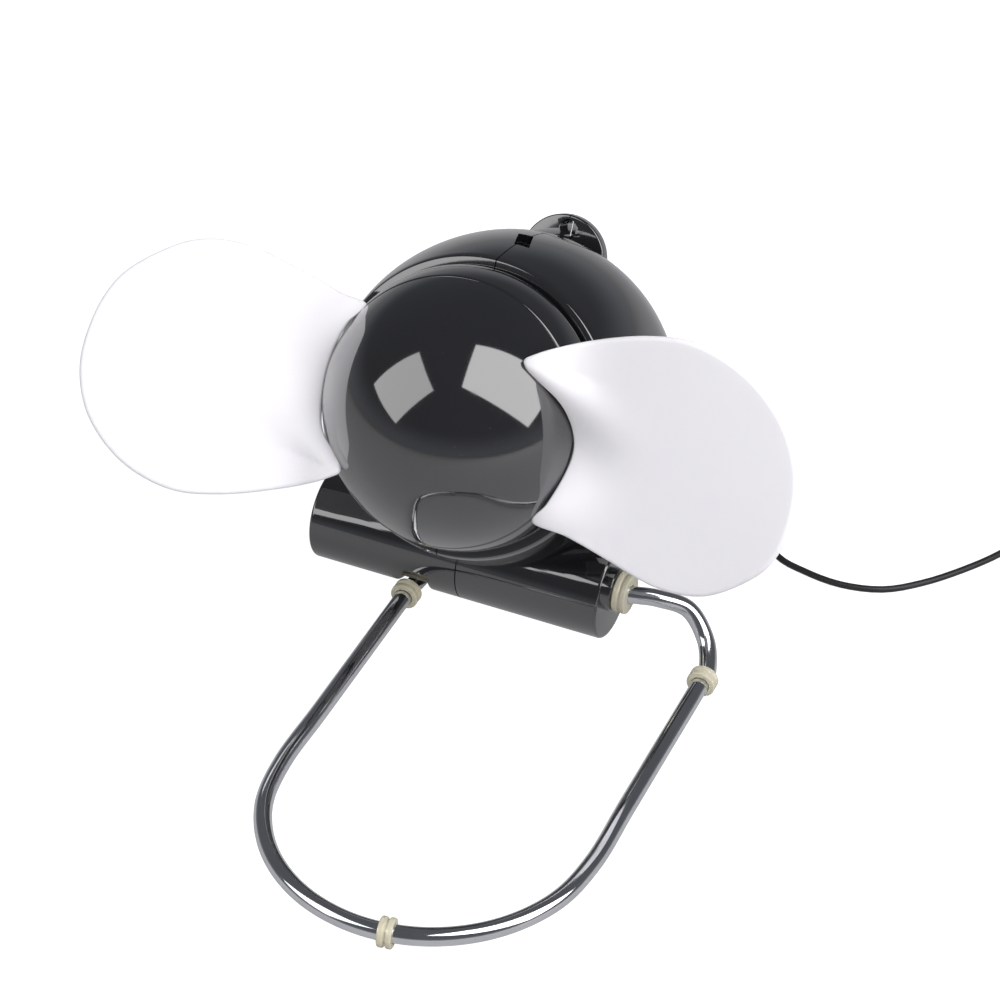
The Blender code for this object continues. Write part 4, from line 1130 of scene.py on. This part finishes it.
    def loft(self, name: str, stations: np.ndarray, power: float, inside: float = 0.0) -> bpy.types.Object:
        """Make a body with rounded-box sections along local X.

        A section is the curve |y / w|^p + |z / h|^p = 1. With an inside value the walls are
        that thick and the far end is open.

        Args:
            name: name of the piece.
            stations: (n, 3) rows of place, half width and half height.
            power: p, higher for a squarer section.
            inside: wall thickness, or 0 for a solid body.

        Returns:
            The body.
        """
        angle = np.arange(72) * 2 * np.pi / 72
        c, s = np.cos(angle), np.sin(angle)
        shape = np.stack([np.sign(c) * np.abs(c) ** (2 / power), np.sign(s) * np.abs(s) ** (2 / power)], 1)
        rows = stations
        if inside:
            back = stations[::-1].copy()
            back[:, 1:] -= inside
            back[-1, 0] += 1.0
            rows = np.concatenate([stations, back])
        first, last = rows[:1] * [1, 0, 0], rows[-1:] * [1, 0, 0]
        rows = np.concatenate([first, rows, last])
        points = np.stack([rows[:, :1] + 0 * c, rows[:, 1:2] * shape[:, 0], rows[:, 2:] * shape[:, 1]], -1)
        return mesh_object(name, self.plug_place().world(points.reshape(-1, 3)),
                           grid_faces(len(rows), len(angle), False, True), 35)

    def plug(self) -> list[bpy.types.Object]:
        """Make the plug's moulded grip, with three finger grooves, and its metal shell."""
        length, width, height = self.plug_body
        w, h = width / 2, height / 2
        neck = [(0.0, 2.2, 2.0), (0.3, 2.6, 2.4), (1.4, 3.4, 2.9), (3.2, 5.6, 3.4), (5.2, w - 0.6, h - 0.2),
                (6.6, w, h)]
        grooves = []
        for at in (8.2, 11.2, 14.2):
            grooves += [(at, w, h), (at + 0.3, w - 0.5, h), (at + 1.3, w - 0.5, h), (at + 1.6, w, h)]
        face = [(length - 0.6, w, h), (length - 0.15, w - 0.25, h - 0.25), (length, w - 0.6, h - 0.6)]
        grip = self.loft("usb_plug_grip", np.array(neck + grooves + face), 5.0)
        made = [settle(grip, PVC_BLACK, "head", "plug_body")]
        s_len, s_w, s_h = self.plug_shell
        start = length + self.gap
        skin = np.array([(start, s_w / 2, s_h / 2), (start + s_len, s_w / 2, s_h / 2)])
        shell = self.loft("usb_plug_shell", skin, 14.0, 0.35)
        place = self.plug_place()
        size = 2.4
        for y in (-3.2, 0.8):
            window = box_object("window", (start + 4.4, y, -3.0), (start + 4.4 + size, y + size, 3.0), place)
            combine(shell, window, "DIFFERENCE")
        shade(shell, 35)
        made.append(settle(shell, STEEL, "head", "plug_shell"))
        return made

    def build(self) -> None:
        path = self.path()
        run = float(np.linalg.norm(np.diff(path, axis=0), axis=1).sum())
        LOG.info("cable centreline %.1f mm", run)
        cable = sweep("supply_cable", path, self.radius, 12)
        settle(cable, PVC_BLACK, "head", "usb_cable", "cable_coil", "cable_tail")
        relief = settle(self.relief(), PVC_BLACK, "head", "strain_relief")
        plug = self.plug()


# ------------------------------------------------------------------ stage

@dataclass
class Studio:
    """Floor, lights and camera."""

    camera_at: tuple[float, float, float] = (229.8, -504.0, 463.6)
    azimuth: float = 24.48
    elevation: float = 39.93
    lens: float = 111.83
    sensor: float = 36.0
    shift: tuple[float, float] = (0.0207, 0.085)
    distance: float = 0.9

    def camera(self) -> None:
        """Make the camera."""
        data = bpy.data.cameras.new("camera")
        data.lens = self.lens
        data.sensor_width = self.sensor
        data.shift_x, data.shift_y = self.shift
        data.clip_start, data.clip_end = 0.01, 20.0
        obj = bpy.data.objects.new("camera", data)
        obj.location = Vector(TABLE.world(np.array(self.camera_at))) * MM
        obj.rotation_euler = (math.radians(90 - self.elevation), 0.0, math.radians(self.azimuth))
        bpy.context.scene.collection.objects.link(obj)
        bpy.context.scene.camera = obj

    def light(self, name: str, direction: tuple[float, float, float], size: tuple[float, float],
              power: float, roll: float, matt: bool = False) -> None:
        """Make a soft box that faces the head from a direction.

        Args:
            name: name of the light.
            direction: from the head to the light.
            size: width and height in metres.
            power: watts.
            roll: degrees that the box is turned about its direction.
            matt: whether it is left out of reflections, so that it shows on matt surfaces.
        """
        data = bpy.data.lights.new(name, "AREA")
        data.shape = "RECTANGLE"
        data.size, data.size_y = size
        data.energy = power
        obj = bpy.data.objects.new(name, data)
        away = Vector(direction).normalized()
        turn = away.to_track_quat("Z", "Y").to_matrix() @ Matrix.Rotation(math.radians(roll), 3, "Z")
        obj.location = Vector(HEAD.origin) * MM + away * self.distance
        obj.rotation_euler = turn.to_euler()
        obj.visible_glossy = not matt
        bpy.context.scene.collection.objects.link(obj)

    def surroundings(self) -> None:
        """Make the world: white to the camera, and a soft grey for light and reflections."""
        world = bpy.data.worlds.new("studio")
        world.use_nodes = True
        tree = world.node_tree
        grey = tree.nodes["Background"]
        way = tree.nodes.new("ShaderNodeSeparateXYZ")
        tree.links.new(tree.nodes.new("ShaderNodeTexCoord").outputs["Generated"], way.inputs["Vector"])
        rise = tree.nodes.new("ShaderNodeMapRange")
        rise.interpolation_type = "SMOOTHSTEP"
        spans = {"From Min": -0.05, "From Max": 0.3, "To Min": 0.30, "To Max": 0.12}
        for name, value in spans.items():
            rise.inputs[name].default_value = value
        tree.links.new(way.outputs["Z"], rise.inputs["Value"])
        tree.links.new(rise.outputs["Result"], grey.inputs["Strength"])
        grey.inputs["Color"].default_value = (0.80, 0.83, 0.90, 1.0)
        white = tree.nodes.new("ShaderNodeBackground")
        white.inputs["Color"].default_value = (1.0, 1.0, 1.0, 1.0)
        white.inputs["Strength"].default_value = 1.1
        mix = tree.nodes.new("ShaderNodeMixShader")
        path = tree.nodes.new("ShaderNodeLightPath")
        tree.links.new(path.outputs["Is Camera Ray"], mix.inputs["Fac"])
        tree.links.new(grey.outputs["Background"], mix.inputs[1])
        tree.links.new(white.outputs["Background"], mix.inputs[2])
        tree.links.new(mix.outputs["Shader"], tree.nodes["World Output"].inputs["Surface"])
        bpy.context.scene.world = world

    def floor(self) -> None:
        """Make a wide floor that is grey to the light and glows white to the camera."""
        reach = 3000.0
        corners = np.array([(-reach, -reach), (reach, -reach), (reach, reach), (-reach, reach)])
        points = np.column_stack([corners, np.full(4, -0.05)])
        obj = mesh_object("floor", points, np.array([[0, 1, 2, 3]]))
        made = bpy.data.materials.new("white_table")
        made.use_nodes = True
        shader = made.node_tree.nodes["Principled BSDF"]
        shader.inputs["Base Color"].default_value = (0.24, 0.24, 0.25, 1.0)
        shader.inputs["Roughness"].default_value = 0.7
        shader.inputs["Specular IOR Level"].default_value = 0.1
        shader.inputs["Emission Color"].default_value = (1.0, 1.0, 1.0, 1.0)
        tree = made.node_tree
        seen = tree.nodes.new("ShaderNodeLightPath").outputs["Is Camera Ray"]
        glow = tree.nodes.new("ShaderNodeMapRange")
        glow.inputs["To Min"].default_value = 0.2
        tree.links.new(seen, glow.inputs["Value"])
        tree.links.new(glow.outputs["Result"], shader.inputs["Emission Strength"])
        obj.data.materials.append(made)

    def build(self) -> None:
        """Make the camera, the lights, the world and the floor."""
        self.camera()
        self.light("soft_box_left", (-0.565, -0.603, 0.563), (0.57, 0.67), 2.35, -16.0)
        self.light("soft_box_right", (0.663, -0.168, 0.729), (0.68, 1.12), 7.0, 28.0)
        self.light("fill", (0.62, -0.42, 0.66), (0.8, 0.8), 6.4, 0.0, matt=True)
        self.surroundings()
        self.floor()
        bpy.context.scene.view_settings.view_transform = "Standard"


def dress_nodes() -> None:
    """Give each CAD node that still shows the finish of its material slot."""
    slots = {part["node"]: part["material_slot"] for part in frame["record"]["subparts"]}
    for name, obj in frame["nodes"].items():
        CAD_FINISHES[slots[name]].dress(obj)
        if not obj.data.polygons[0].use_smooth:
            shade(obj, 30.0)


def main() -> None:
    """Build the stage, the cable and every sub-assembly in order."""
    logging.basicConfig(level=logging.INFO, format="%(message)s")
    Studio().build()
    Supply().build()
    Spinner().build()
    Housing().build()
    Stand().build()
    dress_nodes()


if __name__ == "__main__":
    main()
